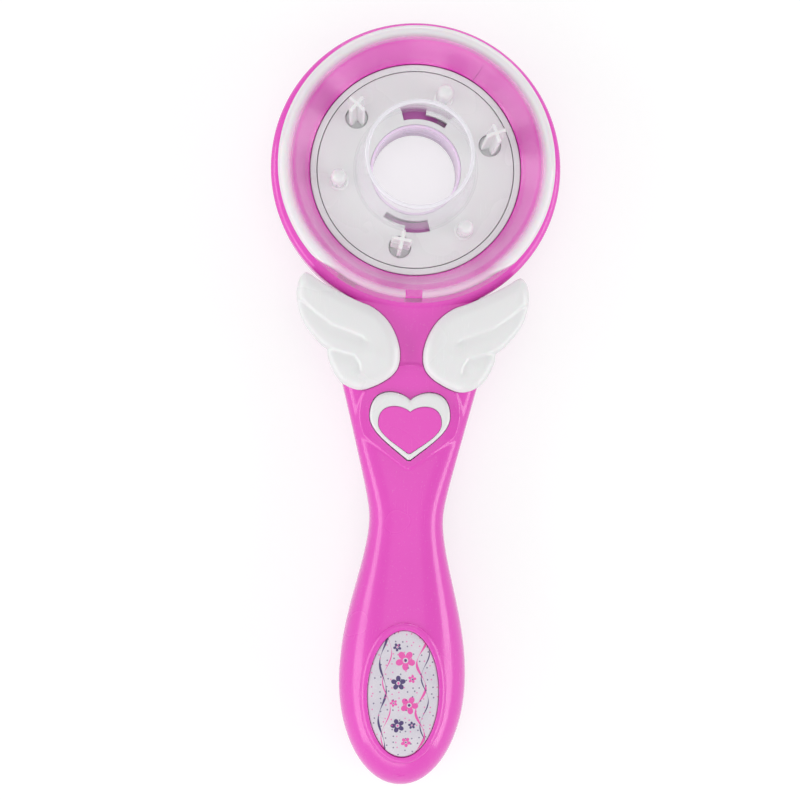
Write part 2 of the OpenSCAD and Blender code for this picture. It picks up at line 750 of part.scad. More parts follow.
module clear_tube() {
    foot = plate_z + fit_gap;
    top = plate_z + tube_h;
    rim = tube_wall * 0.7;
    top_r = tube_r - tube_draft;
    color([0.95, 0.95, 0.98, 0.4]) {
        rotate_extrude() polygon(concat(
            [[slot_in + 0.2, foot], [tube_r + 0.3, foot], [tube_r + 0.3, foot + 0.5],
                [tube_r, foot + 1.6]],
            arc(top_r - rim + 0.4, top - rim, rim, rim, 0, 180, 8),
            [[top_r - tube_wall, top - 3 * rim], [tube_r - tube_wall, foot + 2.4],
                [tube_r - tube_wall - 0.8, foot + 1.5], [slot_in + 0.2, foot + 1.5]]));
        for (a = [0, 180]) rotate([0, 0, slot_start + 2 + a]) tube_hook();
    }
}

// ---- wings ----
wing_top = -(head_r - 11.4);
wing_points = [[0.93, 0], [0.985, 0.07], [1, 0.22], [0.94, 0.41], [0.8, 0.58], [0.695, 0.66],
    [0.68, 0.75], [0.61, 0.88], [0.52, 0.96], [0.36, 1], [0.155, 0.925], [0.03, 0.82], [0, 0.685],
    [0.04, 0.53], [0.13, 0.39], [0.265, 0.287], [0.445, 0.215], [0.63, 0.14], [0.8, 0.055],
    [0.88, 0.008]];
wing_notch = 5;
function wing_outline() = let (n = len(wing_points))
    [for (i = [0:n - 1], k = [0:2]) let (
            before = i == wing_notch ? i : (i + n - 1) % n, after = (i + 1) % n,
            beyond = after == wing_notch ? after : (i + 2) % n,
            p = catmull([for (q = [before, i, after, beyond]) wing_points[q]], k / 3))
        [wing_gap / 2 + p[0] * wing_w, wing_top - p[1] * wing_l]];

module wing_pegs(grow, z0) {
    for (side = [-1, 1], p = [[12.5, -8.5], [13.5, -20]])
        disc(side * p[0], -head_r + p[1] + 0.5, z0, 1.4 + grow, neck_z - z0, 32);
}

// Right-hand wing, its flat top stepped in so that its edge is rounded
module wing() {
    under = neck_z - 2.8;
    top = neck_z + wing_h;
    steps = 4;
    round = 2.4;
    difference() {
        union() {
            translate([0, 0, under]) linear_extrude(height = top - round - under)
                polygon(wing_outline());
            for (i = [1:steps]) let (a = 90 * i / steps, b = 90 * (i - 1) / steps)
                translate([0, 0, top - round + round * sin(b) - skin])
                    linear_extrude(height = round * (sin(a) - sin(b)) + skin)
                        offset(delta = -round * (1 - cos((a + b) / 2))) polygon(wing_outline());
        }
        translate([0, 0, -1]) cylinder(r = head_r + 0.25, h = deck_z + 10);
        half_handle(-0.03, 1, 2);
    }
}

module wing_right() {
    color("white") {
        wing();
        intersection() {
            wing_pegs(0, neck_z - wall);
            plate(0, 40, -90, 0, 0, 40);
        }
    }
}

module wing_left() {
    mirror([1, 0, 0]) wing_right();
}

// ---- heart button and its switch ----
inlay_w = heart_w * 0.788;
inlay_l = heart_l * 0.697;
inlay_drop = heart_l * 0.206;
module inlay_prism(grow, z0, z1) {
    translate([0, grow - inlay_drop, 0])
        heart_prism(inlay_w + 2 * grow, inlay_l + 2.6 * grow, z0, z1);
}

module heart_button() {
    color("white") difference() {
        union() {
            intersection() {
                grown_heart(1, flange_z, flange_z + flange_t);
                half_handle(wall + part_gap, 1, 1);
            }
            grown_heart(0, flange_z, heart_top - 0.7);
            grown_heart(-0.35, heart_top - 0.71, heart_top - 0.3);
            grown_heart(-0.9, heart_top - 0.31, heart_top);
            disc(0, switch_y, stem_z, 2, flange_z - stem_z + 0.5);
        }
        inlay_prism(0.08, heart_top - 0.8, heart_top + 1);
    }
}

module heart_inlay() {
    color("hotpink") inlay_prism(0, heart_top - 0.8, heart_top + 0.1);
}

module switch_plunger() {
    color("dimgray") disc(0, switch_y, stem_z - press - 0.8, plunger_r, press + 0.8);
}

module switch_body() {
    base = board_z + board_t;
    color("dimgray") difference() {
        plate(-3, 3, switch_y - 3, switch_y + 3, base, base + switch_h);
        disc(0, switch_y, base + 0.7, plunger_r + run_gap, switch_h);
    }
}

module switch_board() {
    color("seagreen") plate(-board_half[0], board_half[0], switch_y - board_half[1],
        switch_y + board_half[1], board_z, board_z + board_t);
}

module button_spring() {
    base = board_z + board_t;
    color("silver") translate([0, switch_y, base]) coil(5.4, 0.3, flange_z - base, 4);
}

module label_plate() {
    color("lavender") intersection() {
        label_prism(0);
        difference() {
            half_handle(0, 1);
            half_handle(label_t - 0.02, 1, 1);
        }
    }
}

// ---- drive ----
module drive_gear() {
    bore = drive_axle_r + run_gap;
    top = carrier_z + carrier_t + 0.3;
    color("white") translate([0, drive_y, 0]) {
        gear_solid(drive_wheel_teeth, fine_m, 0, drive_z, wheel_t, bore);
        gear_solid(drive_teeth, ring_m, mesh_phase(ring_teeth, 0, -90, drive_teeth),
            drive_z + wheel_t - skin, top - drive_z - wheel_t + skin, bore);
    }
}

// Axle that hangs from the bridge; its head carries the gear clear of the idler's wheel
module drive_axle() {
    head_z = drive_z - run_gap - axle_head_t;
    color("silver") {
        disc(0, drive_y, head_z, drive_axle_r, bridge_z + bridge_t - 0.3 - head_z);
        disc(0, drive_y, head_z, drive_axle_r + 0.8, axle_head_t);
    }
}

module idler_gear() {
    bore = axle_r + run_gap;
    color("white") translate([idler_x, idler_y, 0]) {
        gear_solid(idler_wheel_teeth, fine_m, 0, idler_z, wheel_t, bore);
        gear_solid(pinion_teeth, fine_m,
            mesh_phase(drive_wheel_teeth, 0, drive_to_idler, pinion_teeth),
            idler_z + wheel_t - skin, idler_top - idler_z - wheel_t + skin, bore);
    }
}

module idler_axle() {
    color("silver") disc(idler_x, idler_y, wall - 1, axle_r, bridge_z + bridge_t - 0.3 - wall + 1);
}

// Plate that holds the upper ends of both axles, on its two pillars
module gear_bridge() {
    ends = [[bridge_posts[0][0], bridge_posts[0][1], 2.4], [0, drive_y, 2.4],
        [idler_x, idler_y, axle_r + 0.65], [bridge_posts[1][0], bridge_posts[1][1], 2.4]];
    sleeve = [[0, drive_y, drive_axle_r], [idler_x, idler_y, axle_r]];
    color("gainsboro") difference() {
        union() {
            for (i = [0:2]) hull() {
                disc(ends[i][0], ends[i][1], bridge_z, ends[i][2], bridge_t, 32);
                disc(ends[i + 1][0], ends[i + 1][1], bridge_z, ends[i + 1][2], bridge_t, 32);
            }
            disc(idler_x, idler_y, idler_top + 0.3, axle_r + 0.65, bridge_z - idler_top);
        }
        for (s = sleeve) disc(s[0], s[1], 0, s[2] + 0.02, bridge_z + bridge_t + 1);
        for (p = bridge_posts) disc(p[0], p[1], bridge_z - 1, screw_r, bridge_t + 2);
    }
}

module bridge_screws() {
    color("silver") for (p = bridge_posts) mirror([0, 0, 1])
        screw(p[0], p[1], -bridge_z - bridge_t, 1, bridge_t + 4, 1.9, 1.1);
}

module motor_can() {
    edge = 0.8;
    bore = 1 + run_gap;
    color("lightgray") translate([0, motor_y, motor_z]) rotate_extrude() polygon([
        [bore, -0.7], [3, -0.7], [3, 0], [motor_r - edge, 0], [motor_r, edge],
        [motor_r, motor_h - edge], [motor_r - edge, motor_h], [0, motor_h], [0, 2], [bore, 2]]);
}

module motor_shaft() {
    color("silver") disc(0, motor_y, idler_z + 0.1, 1, motor_z + 1.7 - idler_z);
}

module motor_pinion() {
    color("goldenrod") translate([0, motor_y, 0]) gear_solid(pinion_teeth, fine_m,
        mesh_phase(idler_wheel_teeth, 0, idler_to_motor, pinion_teeth), idler_z, wheel_t + 0.4, 1.02);
}

module motor_wires() {
    board = board_z + board_t + wire_r + 0.05;
    can = motor_y - sqrt(motor_r^2 - 6.4^2) - 0.1;
    for (x = [-7, 7]) color(x < 0 ? "black" : "red") wire([[x, can, part_z + 3],
        [x, can - 2.4, part_z + 2.6], [x, can - 5, board + 0.6], [x, can - 7.5, board]], wire_r);
}

// ---- battery bay ----
module cell(side) {
    cap = 0.8;
    flip = side < 0 ? 1 : 0;
    mid = (cell_top_y + cell_end_y) / 2;
    translate([side * cell_x, mid, cell_z]) rotate([flip ? 90 : -90, 0, 0]) {
        translate([0, 0, -cell_l / 2]) cylinder(r = cell_r, h = cell_l - cap, $fn = 64);
        translate([0, 0, cell_l / 2 - cap - skin]) cylinder(r = 1.9, h = cap + skin, $fn = 48);
    }
}

module cell_left() {
    color("slategray") cell(-1);
}

module cell_right() {
    color("slategray") cell(1);
}

// Plate that joins the two cells at the head end
module cell_link() {
    color("silver") plate(-cell_x - contact_half, cell_x + contact_half, cell_top_y + 0.02,
        cell_top_y + contact_t,
        cell_z - 3.2, cell_z + 3.2);
}

module cell_contacts() {
    y = tail_wall_y;
    color("silver") for (x = [-cell_x, cell_x])
        plate(x - contact_half, x + contact_half, y, y + contact_t, cell_z - 3.2, cell_z + 6.4);
}

// Short springs between the cells and the tail contacts
module cell_springs() {
    room = cell_end_y - tail_wall_y - contact_t;
    color("silver") for (x = [-cell_x, cell_x])
        translate([x, tail_wall_y + contact_t, cell_z]) rotate([-90, 0, 0])
            coil(2.6, 0.25, room, 2, 12);
}

module cell_wires() {
    rise = cell_z + cell_r + 0.3;
    board = board_z + board_t + wire_r + 0.05;
    start = tail_wall_y + contact_t + 0.05;
    back = switch_y - board_half[1];
    for (x = [-8.6, 8.6]) color(x < 0 ? "black" : "red") wire([[x, start, rise],
        [x, start + 4, rise], [x, bay_y + 4, rise], [x * 0.72, waist_boss_y - 6, rise],
        [x * 0.72, waist_boss_y + 4, rise - 0.6], [x, back - 3, board + 0.3], [x, back + 3, board]],
        wire_r);
}

module battery_door() {
    color("orchid") difference() {
        union() {
            door_shape(0, door_z, wall - door_z);
            for (x = [-1, 1]) plate(x * 7 - 1.5, x * 7 + 1.5, door_top_y - door_l + 0.4,
                door_top_y - door_l + 1.6, door_z, wall + 0.2);
        }
        disc(0, door_screw_y, -1, 2, 1.7);
        disc(0, door_screw_y, -1, 1.2, 6, 32);
    }
}

module door_screw() {
    color("silver") screw(0, door_screw_y, door_z + 0.5, 0.8, 4.5, 1.7, 0.4);
}

front_casing();
back_casing();
casing_screws();
clear_cover();
bezel_ring();
hair_sleeve();
sun_gear();
rotor_plate();
carrier_ring();
rotor_screws();
color("white") spindle_post(post_angles[0]);  // spindle_post_1
color("white") spindle_post(post_angles[1]);  // spindle_post_2
color("white") spindle_post(post_angles[2]);  // spindle_post_3
planet_gear(post_angles[0]);  // planet_gear_1
planet_gear(post_angles[1]);  // planet_gear_2
planet_gear(post_angles[2]);  // planet_gear_3
clear_tube();
wing_left();
wing_right();
heart_button();
heart_inlay();
switch_plunger();
button_spring();
switch_body();
switch_board();
label_plate();
drive_gear();
drive_axle();
idler_gear();
idler_axle();
gear_bridge();
bridge_screws();
motor_can();
motor_shaft();
motor_pinion();
motor_wires();
cell_left();
cell_right();
cell_link();
cell_contacts();
cell_springs();
cell_wires();
battery_door();
door_screw();
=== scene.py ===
import json
import math

import bpy
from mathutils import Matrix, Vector
from mathutils.kdtree import KDTree


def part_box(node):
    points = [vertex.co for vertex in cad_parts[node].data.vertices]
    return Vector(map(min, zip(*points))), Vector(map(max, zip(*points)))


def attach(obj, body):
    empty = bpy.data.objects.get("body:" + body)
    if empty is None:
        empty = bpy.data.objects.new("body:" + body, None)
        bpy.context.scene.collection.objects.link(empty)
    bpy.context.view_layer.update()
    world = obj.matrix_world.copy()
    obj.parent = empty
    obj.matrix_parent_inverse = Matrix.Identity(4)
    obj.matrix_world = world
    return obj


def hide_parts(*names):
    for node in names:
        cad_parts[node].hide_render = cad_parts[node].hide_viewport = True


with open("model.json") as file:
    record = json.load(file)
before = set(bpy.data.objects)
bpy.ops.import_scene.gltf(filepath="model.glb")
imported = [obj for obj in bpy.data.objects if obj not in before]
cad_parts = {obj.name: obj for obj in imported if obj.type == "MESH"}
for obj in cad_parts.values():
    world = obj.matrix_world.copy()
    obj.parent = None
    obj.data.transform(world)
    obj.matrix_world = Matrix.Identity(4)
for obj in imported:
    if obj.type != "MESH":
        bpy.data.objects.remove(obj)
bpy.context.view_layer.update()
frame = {"nodes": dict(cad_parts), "record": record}

# ---- sizes, in millimetres; s is the distance from the hair hole towards the tail ----
MM = 0.001
HEAD_R = 45.4            # head radius
PART_Z = 11.5            # height of the joint between the casing halves
WALL = 1.8               # casing wall
DECK_Z = 20.5            # top of the head's rim
PLATE_Z = 15.0           # top of the rotor plate
NECK_W, NECK_L = 21.8, 65.4
WAIST_W, WAIST_S = 11.7, 110.8
GRIP_W, GRIP_L, GRIP_S = 20.0, 50.2, 161.0
TAIL_L = 33.4
NECK_Z = 20.3            # front of the neck
HEART_Y = -70.39         # top of the heart's lobes
HEART_W, HEART_L = 25, 21.1
LABEL = (11.0, 19.6, -163.4)   # half width, half length and centre of the oval label
POST_ANGLES = (20, 140, 260)
POST_RING = 24.8
BOSSES = [(39.2 * math.cos(math.radians(a)), 39.2 * math.sin(math.radians(a)))
          for a in (30, 90, 150)] + [(0.0, -104.0), (0.0, -187.13)]


def mix(a, b, t):
    return a + (b - a) * t


def ease(t):
    c = min(max(t, 0.0), 1.0)
    return c * c * (3 - 2 * c)


# ---- the handle's sections ----
def tail(s, inset, power):
    if s <= GRIP_S:
        return 1.0
    return math.sqrt(max(0.0, 1 - ((s - GRIP_S) / (TAIL_L - inset)) ** power))


def half_width(s, inset=0.0):
    if s <= WAIST_S:
        flare = 0.26 * (math.hypot(WAIST_S - s, 6) - 6)
        return min(NECK_W, WAIST_W + flare) - inset
    if s <= GRIP_S:
        t = (s - WAIST_S) / GRIP_L
        return mix(WAIST_W, GRIP_W, math.sin(math.pi / 2 * t ** 0.85) ** 2) - inset
    return (GRIP_W - inset) * tail(s, inset, 2)


def front_depth(s, inset=0.0):
    grip = mix(10.0, 14.5, ease((s - WAIST_S) / GRIP_L * 1.15))
    depth = mix(8.8, grip, ease((s - HEAD_R - NECK_L / 2) / (NECK_L / 2)))
    return (depth - inset) * tail(s, inset, 3)


def back_depth(s, inset=0.0):
    grip = mix(8.5, PART_Z + 5.5, ease((s - WAIST_S) / GRIP_L * 1.85))
    depth = mix(PART_Z + 2, grip, ease((s - HEAD_R - NECK_L * 0.65) / (NECK_L * 0.35)))
    return (depth - inset) * tail(s, inset, 2)


def squareness(s, side):
    blend = ease((s - HEAD_R - NECK_L * 0.4) / (NECK_L * 0.6))
    if side > 0:
        return mix(4.0, mix(2.6, 2.3, ease((s - WAIST_S) / GRIP_L)), blend)
    return mix(5.0, 3.0, blend)


def front_z(x, y, inset=0.0):
    """Height of the plain front surface over a point of the handle."""
    s = -y
    across = min(abs(x) / max(half_width(s, inset), 1e-6), 1.0)
    power = squareness(s, 1)
    return PART_Z + front_depth(s, inset) * (1 - across ** power) ** (1 / power)


# ---- outlines ----
def heart_outline(width, length, top=HEART_Y, steps=24):
    def bezier(p, t):
        u = 1 - t
        return tuple(u ** 3 * p[0][k] + 3 * u * u * t * p[1][k] + 3 * u * t * t * p[2][k]
                     + t ** 3 * p[3][k] for k in (0, 1))
    lobe = ((0, -0.11), (0.13, 0.05), (0.5, 0.1), (0.5, -0.345))
    side = ((0.5, -0.345), (0.5, -0.58), (0.25, -0.765), (0.02, -0.99))
    half = [bezier(lobe, i / steps) for i in range(steps)]
    half += [bezier(side, i / steps) for i in range(steps + 1)]
    mirrored = [(-x, y) for x, y in reversed(half[1:])]
    return [(x * width, top + y * length) for x, y in mirrored + half][::-1]


WING_POINTS = ((0.93, 0), (0.985, 0.07), (1, 0.22), (0.94, 0.41), (0.8, 0.58), (0.695, 0.66),
               (0.68, 0.75), (0.61, 0.88), (0.52, 0.96), (0.36, 1), (0.155, 0.925),
               (0.03, 0.82), (0, 0.685), (0.04, 0.53), (0.13, 0.39), (0.265, 0.287),
               (0.445, 0.215), (0.63, 0.14), (0.8, 0.055), (0.88, 0.008))
WING_NOTCH = 5


def wing_outline(steps=8):
    """Right-hand wing, clockwise seen from the front, with a sharp notch between its feathers."""
    n = len(WING_POINTS)
    line = []
    for i in range(n):
        before = i if i == WING_NOTCH else (i - 1) % n
        after = (i + 1) % n
        beyond = after if after == WING_NOTCH else (i + 2) % n
        p = [WING_POINTS[q] for q in (before, i, after, beyond)]
        for k in range(steps):
            t = k / steps
            x, y = (0.5 * (2 * p[1][c] + (p[2][c] - p[0][c]) * t
                           + (2 * p[0][c] - 5 * p[1][c] + 4 * p[2][c] - p[3][c]) * t * t
                           + (3 * p[1][c] - p[0][c] - 3 * p[2][c] + p[3][c]) * t ** 3)
                    for c in (0, 1))
            line.append((3.6 + x * 32.5, -34.0 - y * 35.9))
    return line[::-1]


def turning(outline):
    """1 for an outline that runs anticlockwise, -1 for a clockwise one."""
    pairs = zip(outline, outline[1:] + outline[:1])
    return 1 if sum(ax * by - bx * ay for (ax, ay), (bx, by) in pairs) > 0 else -1


def grown(outline, gap):
    """Smooth outline moved outwards by a gap."""
    facing = turning(outline)
    line = []
    for i, (x, y) in enumerate(outline):
        (ax, ay), (bx, by) = outline[i - 1], outline[(i + 1) % len(outline)]
        out = Vector((by - ay, ax - bx)).normalized() * facing * gap
        line.append((x + out.x, y + out.y))
    return line


def arc(cx, cy, rx, ry, first, last, steps):
    angles = [math.radians(mix(first, last, i / steps)) for i in range(steps + 1)]
    return [(cx + rx * math.cos(a), cy + ry * math.sin(a)) for a in angles]


def rounded(corners, steps=4):
    """Corners (x, y, radius) with each one rounded off."""
    line = []
    for i, (x, y, radius) in enumerate(corners):
        if radius <= 0:
            line.append((x, y))
            continue
        here = Vector((x, y))
        back = Vector(corners[i - 1][:2]) - here
        ahead = Vector(corners[(i + 1) % len(corners)][:2]) - here
        half = back.angle(ahead) / 2
        reach = min(radius / math.tan(half), 0.49 * back.length, 0.49 * ahead.length)
        radius = reach * math.tan(half)
        centre = here + (back.normalized() + ahead.normalized()).normalized() * (
            reach / math.cos(half))
        start = here + back.normalized() * reach - centre
        end = here + ahead.normalized() * reach - centre
        for k in range(steps + 1):
            line.append(tuple(centre + start.lerp(end, k / steps).normalized() * radius))
    return line


def rounded_box(x0, x1, y0, y1, radius, steps):
    return rounded([(x0, y0, radius), (x1, y0, radius), (x1, y1, radius), (x0, y1, radius)], steps)


def outline_field(outline, spacing=0.06):
    """A function that gives a point's depth inside the outline, and the way inwards."""
    dense = []
    for (ax, ay), (bx, by) in zip(outline, outline[1:] + outline[:1]):
        steps = max(1, round(math.hypot(bx - ax, by - ay) / spacing))
        dense += [(mix(ax, bx, k / steps), mix(ay, by, k / steps)) for k in range(steps)]
    facing = turning(dense)
    tree = KDTree(len(dense))
    inward = []
    reach = 6
    for i, (x, y) in enumerate(dense):
        tree.insert((x, y, 0), i)
        (ax, ay), (bx, by) = dense[i - reach], dense[(i + reach) % len(dense)]
        inward.append(Vector((ay - by, bx - ax)).normalized() * facing)
    tree.balance()

    def depth(x, y):
        place, i, distance = tree.find((x, y, 0))
        way = inward[i]
        side = (x - place.x) * way.x + (y - place.y) * way.y
        return (distance if side >= 0 else -distance), way
    return depth


# ---- modelling steps ----
def choose(piece):
    bpy.ops.object.select_all(action="DESELECT")
    piece.select_set(True)
    bpy.context.view_layer.objects.active = piece


def edit(piece):
    choose(piece)
    bpy.ops.object.mode_set(mode="EDIT")
    bpy.ops.mesh.select_all(action="SELECT")


def leave():
    bpy.ops.object.mode_set(mode="OBJECT")


def apply_step(piece, name, kind, **settings):
    """Adds a modifier to the chosen piece, sets it up and applies it."""
    step = piece.modifiers.new(name, kind)
    for key, value in settings.items():
        setattr(step, key, value)
    bpy.ops.object.modifier_apply(modifier=step.name)


def face_outwards(piece):
    edit(piece)
    bpy.ops.mesh.remove_doubles(threshold=0.0005)
    bpy.ops.mesh.normals_make_consistent(inside=False)
    leave()


def prism(name, outline, low, high):
    """Outline filled flat and extruded upwards."""
    bpy.ops.object.select_all(action="DESELECT")
    bpy.ops.mesh.primitive_circle_add(vertices=len(outline), radius=1, fill_type="NGON")
    piece = bpy.context.object
    piece.name = name
    for vertex, (x, y) in zip(piece.data.vertices, outline):
        vertex.co = (x, y, low)
    edit(piece)
    bpy.ops.mesh.extrude_region_move(TRANSFORM_OT_translate={"value": (0, 0, high - low)})
    leave()
    face_outwards(piece)
    return piece


def peg(name, x, y, low, high, radius, sides=40):
    bpy.ops.object.select_all(action="DESELECT")
    bpy.ops.mesh.primitive_cylinder_add(vertices=sides, radius=radius, depth=high - low,
                                        location=(x, y, (low + high) / 2))
    piece = bpy.context.object
    piece.name = name
    bpy.ops.object.transform_apply(location=True, rotation=True, scale=True)
    return piece


def moved(piece, radius, turn):
    """Shifts a piece made at the hair hole out to a radius and an angle in degrees."""
    a = math.radians(turn)
    choose(piece)
    bpy.ops.transform.translate(value=(radius * math.cos(a), radius * math.sin(a), 0))
    bpy.ops.object.transform_apply(location=True, rotation=True, scale=True)
    return piece


def slab(name, x0, x1, y0, y1, low, high):
    return prism(name, [(x0, y0), (x1, y0), (x1, y1), (x0, y1)], low, high)


def turned(name, profile, steps=180, first=0.0, sweep=360.0):
    """Closed profile of (radius, height) spun about the hair hole's axis."""
    bpy.ops.object.select_all(action="DESELECT")
    whole = sweep >= 360
    bpy.ops.mesh.primitive_circle_add(vertices=len(profile), radius=1,
                                      fill_type="NOTHING" if whole else "NGON")
    piece = bpy.context.object
    piece.name = name
    start = math.radians(first)
    for vertex, (r, z) in zip(piece.data.vertices, profile):
        vertex.co = (r * math.cos(start), r * math.sin(start), z)
    edit(piece)
    bpy.ops.mesh.spin(steps=steps, angle=math.radians(-sweep), center=(0, 0, 0),
                      axis=(0, 0, 1))
    leave()
    face_outwards(piece)
    return piece


def lofted(name, rings, closed=False):
    """Skin over rings of points; its ends are filled unless it runs round on itself."""
    across, along = len(rings[0]), len(rings)
    rows = rings + rings[:1] if closed else rings
    bpy.ops.object.select_all(action="DESELECT")
    bpy.ops.mesh.primitive_grid_add(x_subdivisions=across, y_subdivisions=len(rows) - 1, size=2)
    piece = bpy.context.object
    piece.name = name
    for i, vertex in enumerate(piece.data.vertices):
        vertex.co = rows[i // (across + 1)][i % (across + 1) % across]
    edit(piece)
    bpy.ops.mesh.remove_doubles(threshold=0.0005)
    if not closed:
        bpy.ops.mesh.select_all(action="DESELECT")
        bpy.ops.mesh.select_non_manifold(extend=False, use_wire=False, use_boundary=True,
                                         use_multi_face=False, use_non_contiguous=False,
                                         use_verts=False)
        bpy.ops.mesh.fill_holes(sides=0)
        bpy.ops.mesh.select_all(action="SELECT")
    bpy.ops.mesh.normals_make_consistent(inside=False)
    leave()
    return piece


def combine(piece, tools, how):
    """Boolean of a closed piece with closed tools, which it uses up."""
    group = bpy.data.collections.new("tools")
    bpy.context.scene.collection.children.link(group)
    for tool in tools:
        group.objects.link(tool)
    choose(piece)
    apply_step(piece, "combine", "BOOLEAN", operation=how, solver="MANIFOLD",
               show_viewport=False, operand_type="COLLECTION", collection=group)
    for tool in tools:
        bpy.data.objects.remove(tool)
    bpy.data.collections.remove(group)
    return piece


def cut(piece, *tools):
    return combine(piece, tools, "DIFFERENCE")


def fuse(piece, *tools):
    return combine(piece, tools, "UNION")


def trim(piece, height, keep_above):
    """Cuts a piece flat at a height."""
    edit(piece)
    bpy.ops.mesh.bisect(plane_co=(0, 0, height), plane_no=(0, 0, 1), use_fill=True,
                        clear_inner=keep_above, clear_outer=not keep_above, threshold=0.0001)
    leave()
    return piece


def bevelled(piece, width, segments=2, angle=40.0):
    """Softens the sharp edges of a flat-faced piece."""
    edit(piece)
    bpy.ops.mesh.dissolve_limited(angle_limit=math.radians(0.5))
    leave()
    apply_step(piece, "soften", "BEVEL", width=width, segments=segments, limit_method="ANGLE",
               angle_limit=math.radians(angle), use_clamp_overlap=True)
    return piece


def pillow(name, outline, low, high, voxel, edge_in, edge_up, edge_low=0.3, relief=None):
    """Moulded pad: the outline made solid, its edges rolled over and its top given relief."""
    piece = prism(name, outline, low, high)
    apply_step(piece, "grain", "REMESH", mode="VOXEL", voxel_size=voxel)
    depth_of = outline_field(outline)
    shoulder = high - edge_up
    for vertex in piece.data.vertices:
        x, y, z = vertex.co
        depth, way = depth_of(x, y)
        new_depth, new_z = max(depth, 0.0), z
        upper = z > (low + high) / 2
        if upper and z > shoulder and depth < edge_in:
            turn = math.atan2((z - shoulder) / edge_up, (edge_in - depth) / edge_in)
            turn = min(max(turn, 0.0), math.pi / 2)
            new_depth = edge_in * (1 - math.cos(turn))
            new_z = shoulder + edge_up * math.sin(turn)
        elif upper and z > shoulder:
            new_z = high
        elif not upper and z < low + edge_low and depth < edge_low:
            turn = math.atan2((low + edge_low - z) / edge_low, (edge_low - depth) / edge_low)
            turn = min(max(turn, 0.0), math.pi / 2)
            new_depth = edge_low * (1 - math.cos(turn))
            new_z = low + edge_low * (1 - math.sin(turn))
        elif depth < voxel:
            new_depth = 0.0
        else:
            new_z = high if upper else low
        x += way.x * (new_depth - depth)
        y += way.y * (new_depth - depth)
        if relief and new_z > shoulder:
            new_z += relief(x, y, new_depth) * min(1.0, (new_z - shoulder) / edge_up)
        vertex.co = (x, y, new_z)
    return piece


# ---- materials ----
class Wiring:
    """Short hand for the nodes of one material or group."""

    def __init__(self, tree):
        self.tree = tree

    def put(self, kind, inputs=None, **settings):
        node = self.tree.nodes.new(kind)
        for key, value in settings.items():
            setattr(node, key, value)
        for key, value in (inputs or {}).items():
            self.feed(node.inputs[key], value)
        return node

    def feed(self, socket, value):
        if isinstance(value, bpy.types.NodeSocket):
            self.tree.links.new(value, socket)
        else:
            socket.default_value = value

    def math(self, operation, *values):
        node = self.put("ShaderNodeMath", operation=operation)
        for socket, value in zip(node.inputs, values):
            self.feed(socket, value)
        return node.outputs[0]

    def vector(self, operation, *values, out=0):
        node = self.put("ShaderNodeVectorMath", operation=operation)
        for socket, value in zip(node.inputs, values):
            self.feed(socket, value)
        return node.outputs[out]

    def blend(self, amount, first, second):
        node = self.put("ShaderNodeMix", data_type="RGBA")
        for socket, value in zip((node.inputs[0], node.inputs[6], node.inputs[7]),
                                 (amount, first, second)):
            self.feed(socket, value)
        return node.outputs[2]

    def spread(self, value, low, high, to_low, to_high, how="LINEAR"):
        node = self.put("ShaderNodeMapRange", {"Value": value, "From Min": low, "From Max": high,
                                               "To Min": to_low, "To Max": to_high},
                        interpolation_type=how)
        return node.outputs[0]

    def noise(self, place, scale, detail, rough=0.5, distortion=0.0):
        return self.put("ShaderNodeTexNoise", {"Vector": place, "Scale": scale, "Detail": detail,
                                               "Roughness": rough,
                                               "Distortion": distortion}).outputs["Fac"]

    def split(self, place):
        return self.put("ShaderNodeSeparateXYZ", {"Vector": place}).outputs

    def relief(self, shader, height, strength, depth):
        """Small relief in a surface, as a bump of the given depth in metres."""
        bump = self.put("ShaderNodeBump", {"Height": height, "Strength": strength,
                                           "Distance": depth})
        self.feed(shader.inputs["Normal"], bump.outputs[0])


def new_group(name, inputs, outputs):
    group = bpy.data.node_groups.new(name, "ShaderNodeTree")
    for title, kind, value in inputs:
        socket = group.interface.new_socket(title, in_out="INPUT", socket_type=kind)
        if value is not None:
            socket.default_value = value
    for title, kind in outputs:
        group.interface.new_socket(title, in_out="OUTPUT", socket_type=kind)
    wiring = Wiring(group)
    return wiring, wiring.put("NodeGroupInput").outputs, wiring.put("NodeGroupOutput").inputs


VECTOR, FLOAT = "NodeSocketVector", "NodeSocketFloat"


def moulding_group():
    """The faint ripple, flow marks and gloss changes of moulded plastic."""
    w, given, result = new_group("moulded skin", [
        ("Vector", VECTOR, None), ("Ripple", FLOAT, 60.0), ("Grain", FLOAT, 900.0),
        ("Grain share", FLOAT, 0.15)], [("Height", FLOAT), ("Tone", FLOAT), ("Gloss", FLOAT)])
    ripple = w.noise(given["Vector"], given["Ripple"], 1.0, 0.4)
    grain = w.noise(given["Vector"], given["Grain"], 2.0, 0.6)
    flow = w.noise(given["Vector"], 14.0, 3.0, 0.5, 0.8)
    w.feed(result["Height"], w.math("MULTIPLY_ADD", grain, given["Grain share"], ripple))
    w.feed(result["Tone"], w.spread(flow, 0.3, 0.7, 0.0, 1.0))
    w.feed(result["Gloss"], w.spread(ripple, 0.3, 0.7, 0.0, 1.0))
    return w.tree


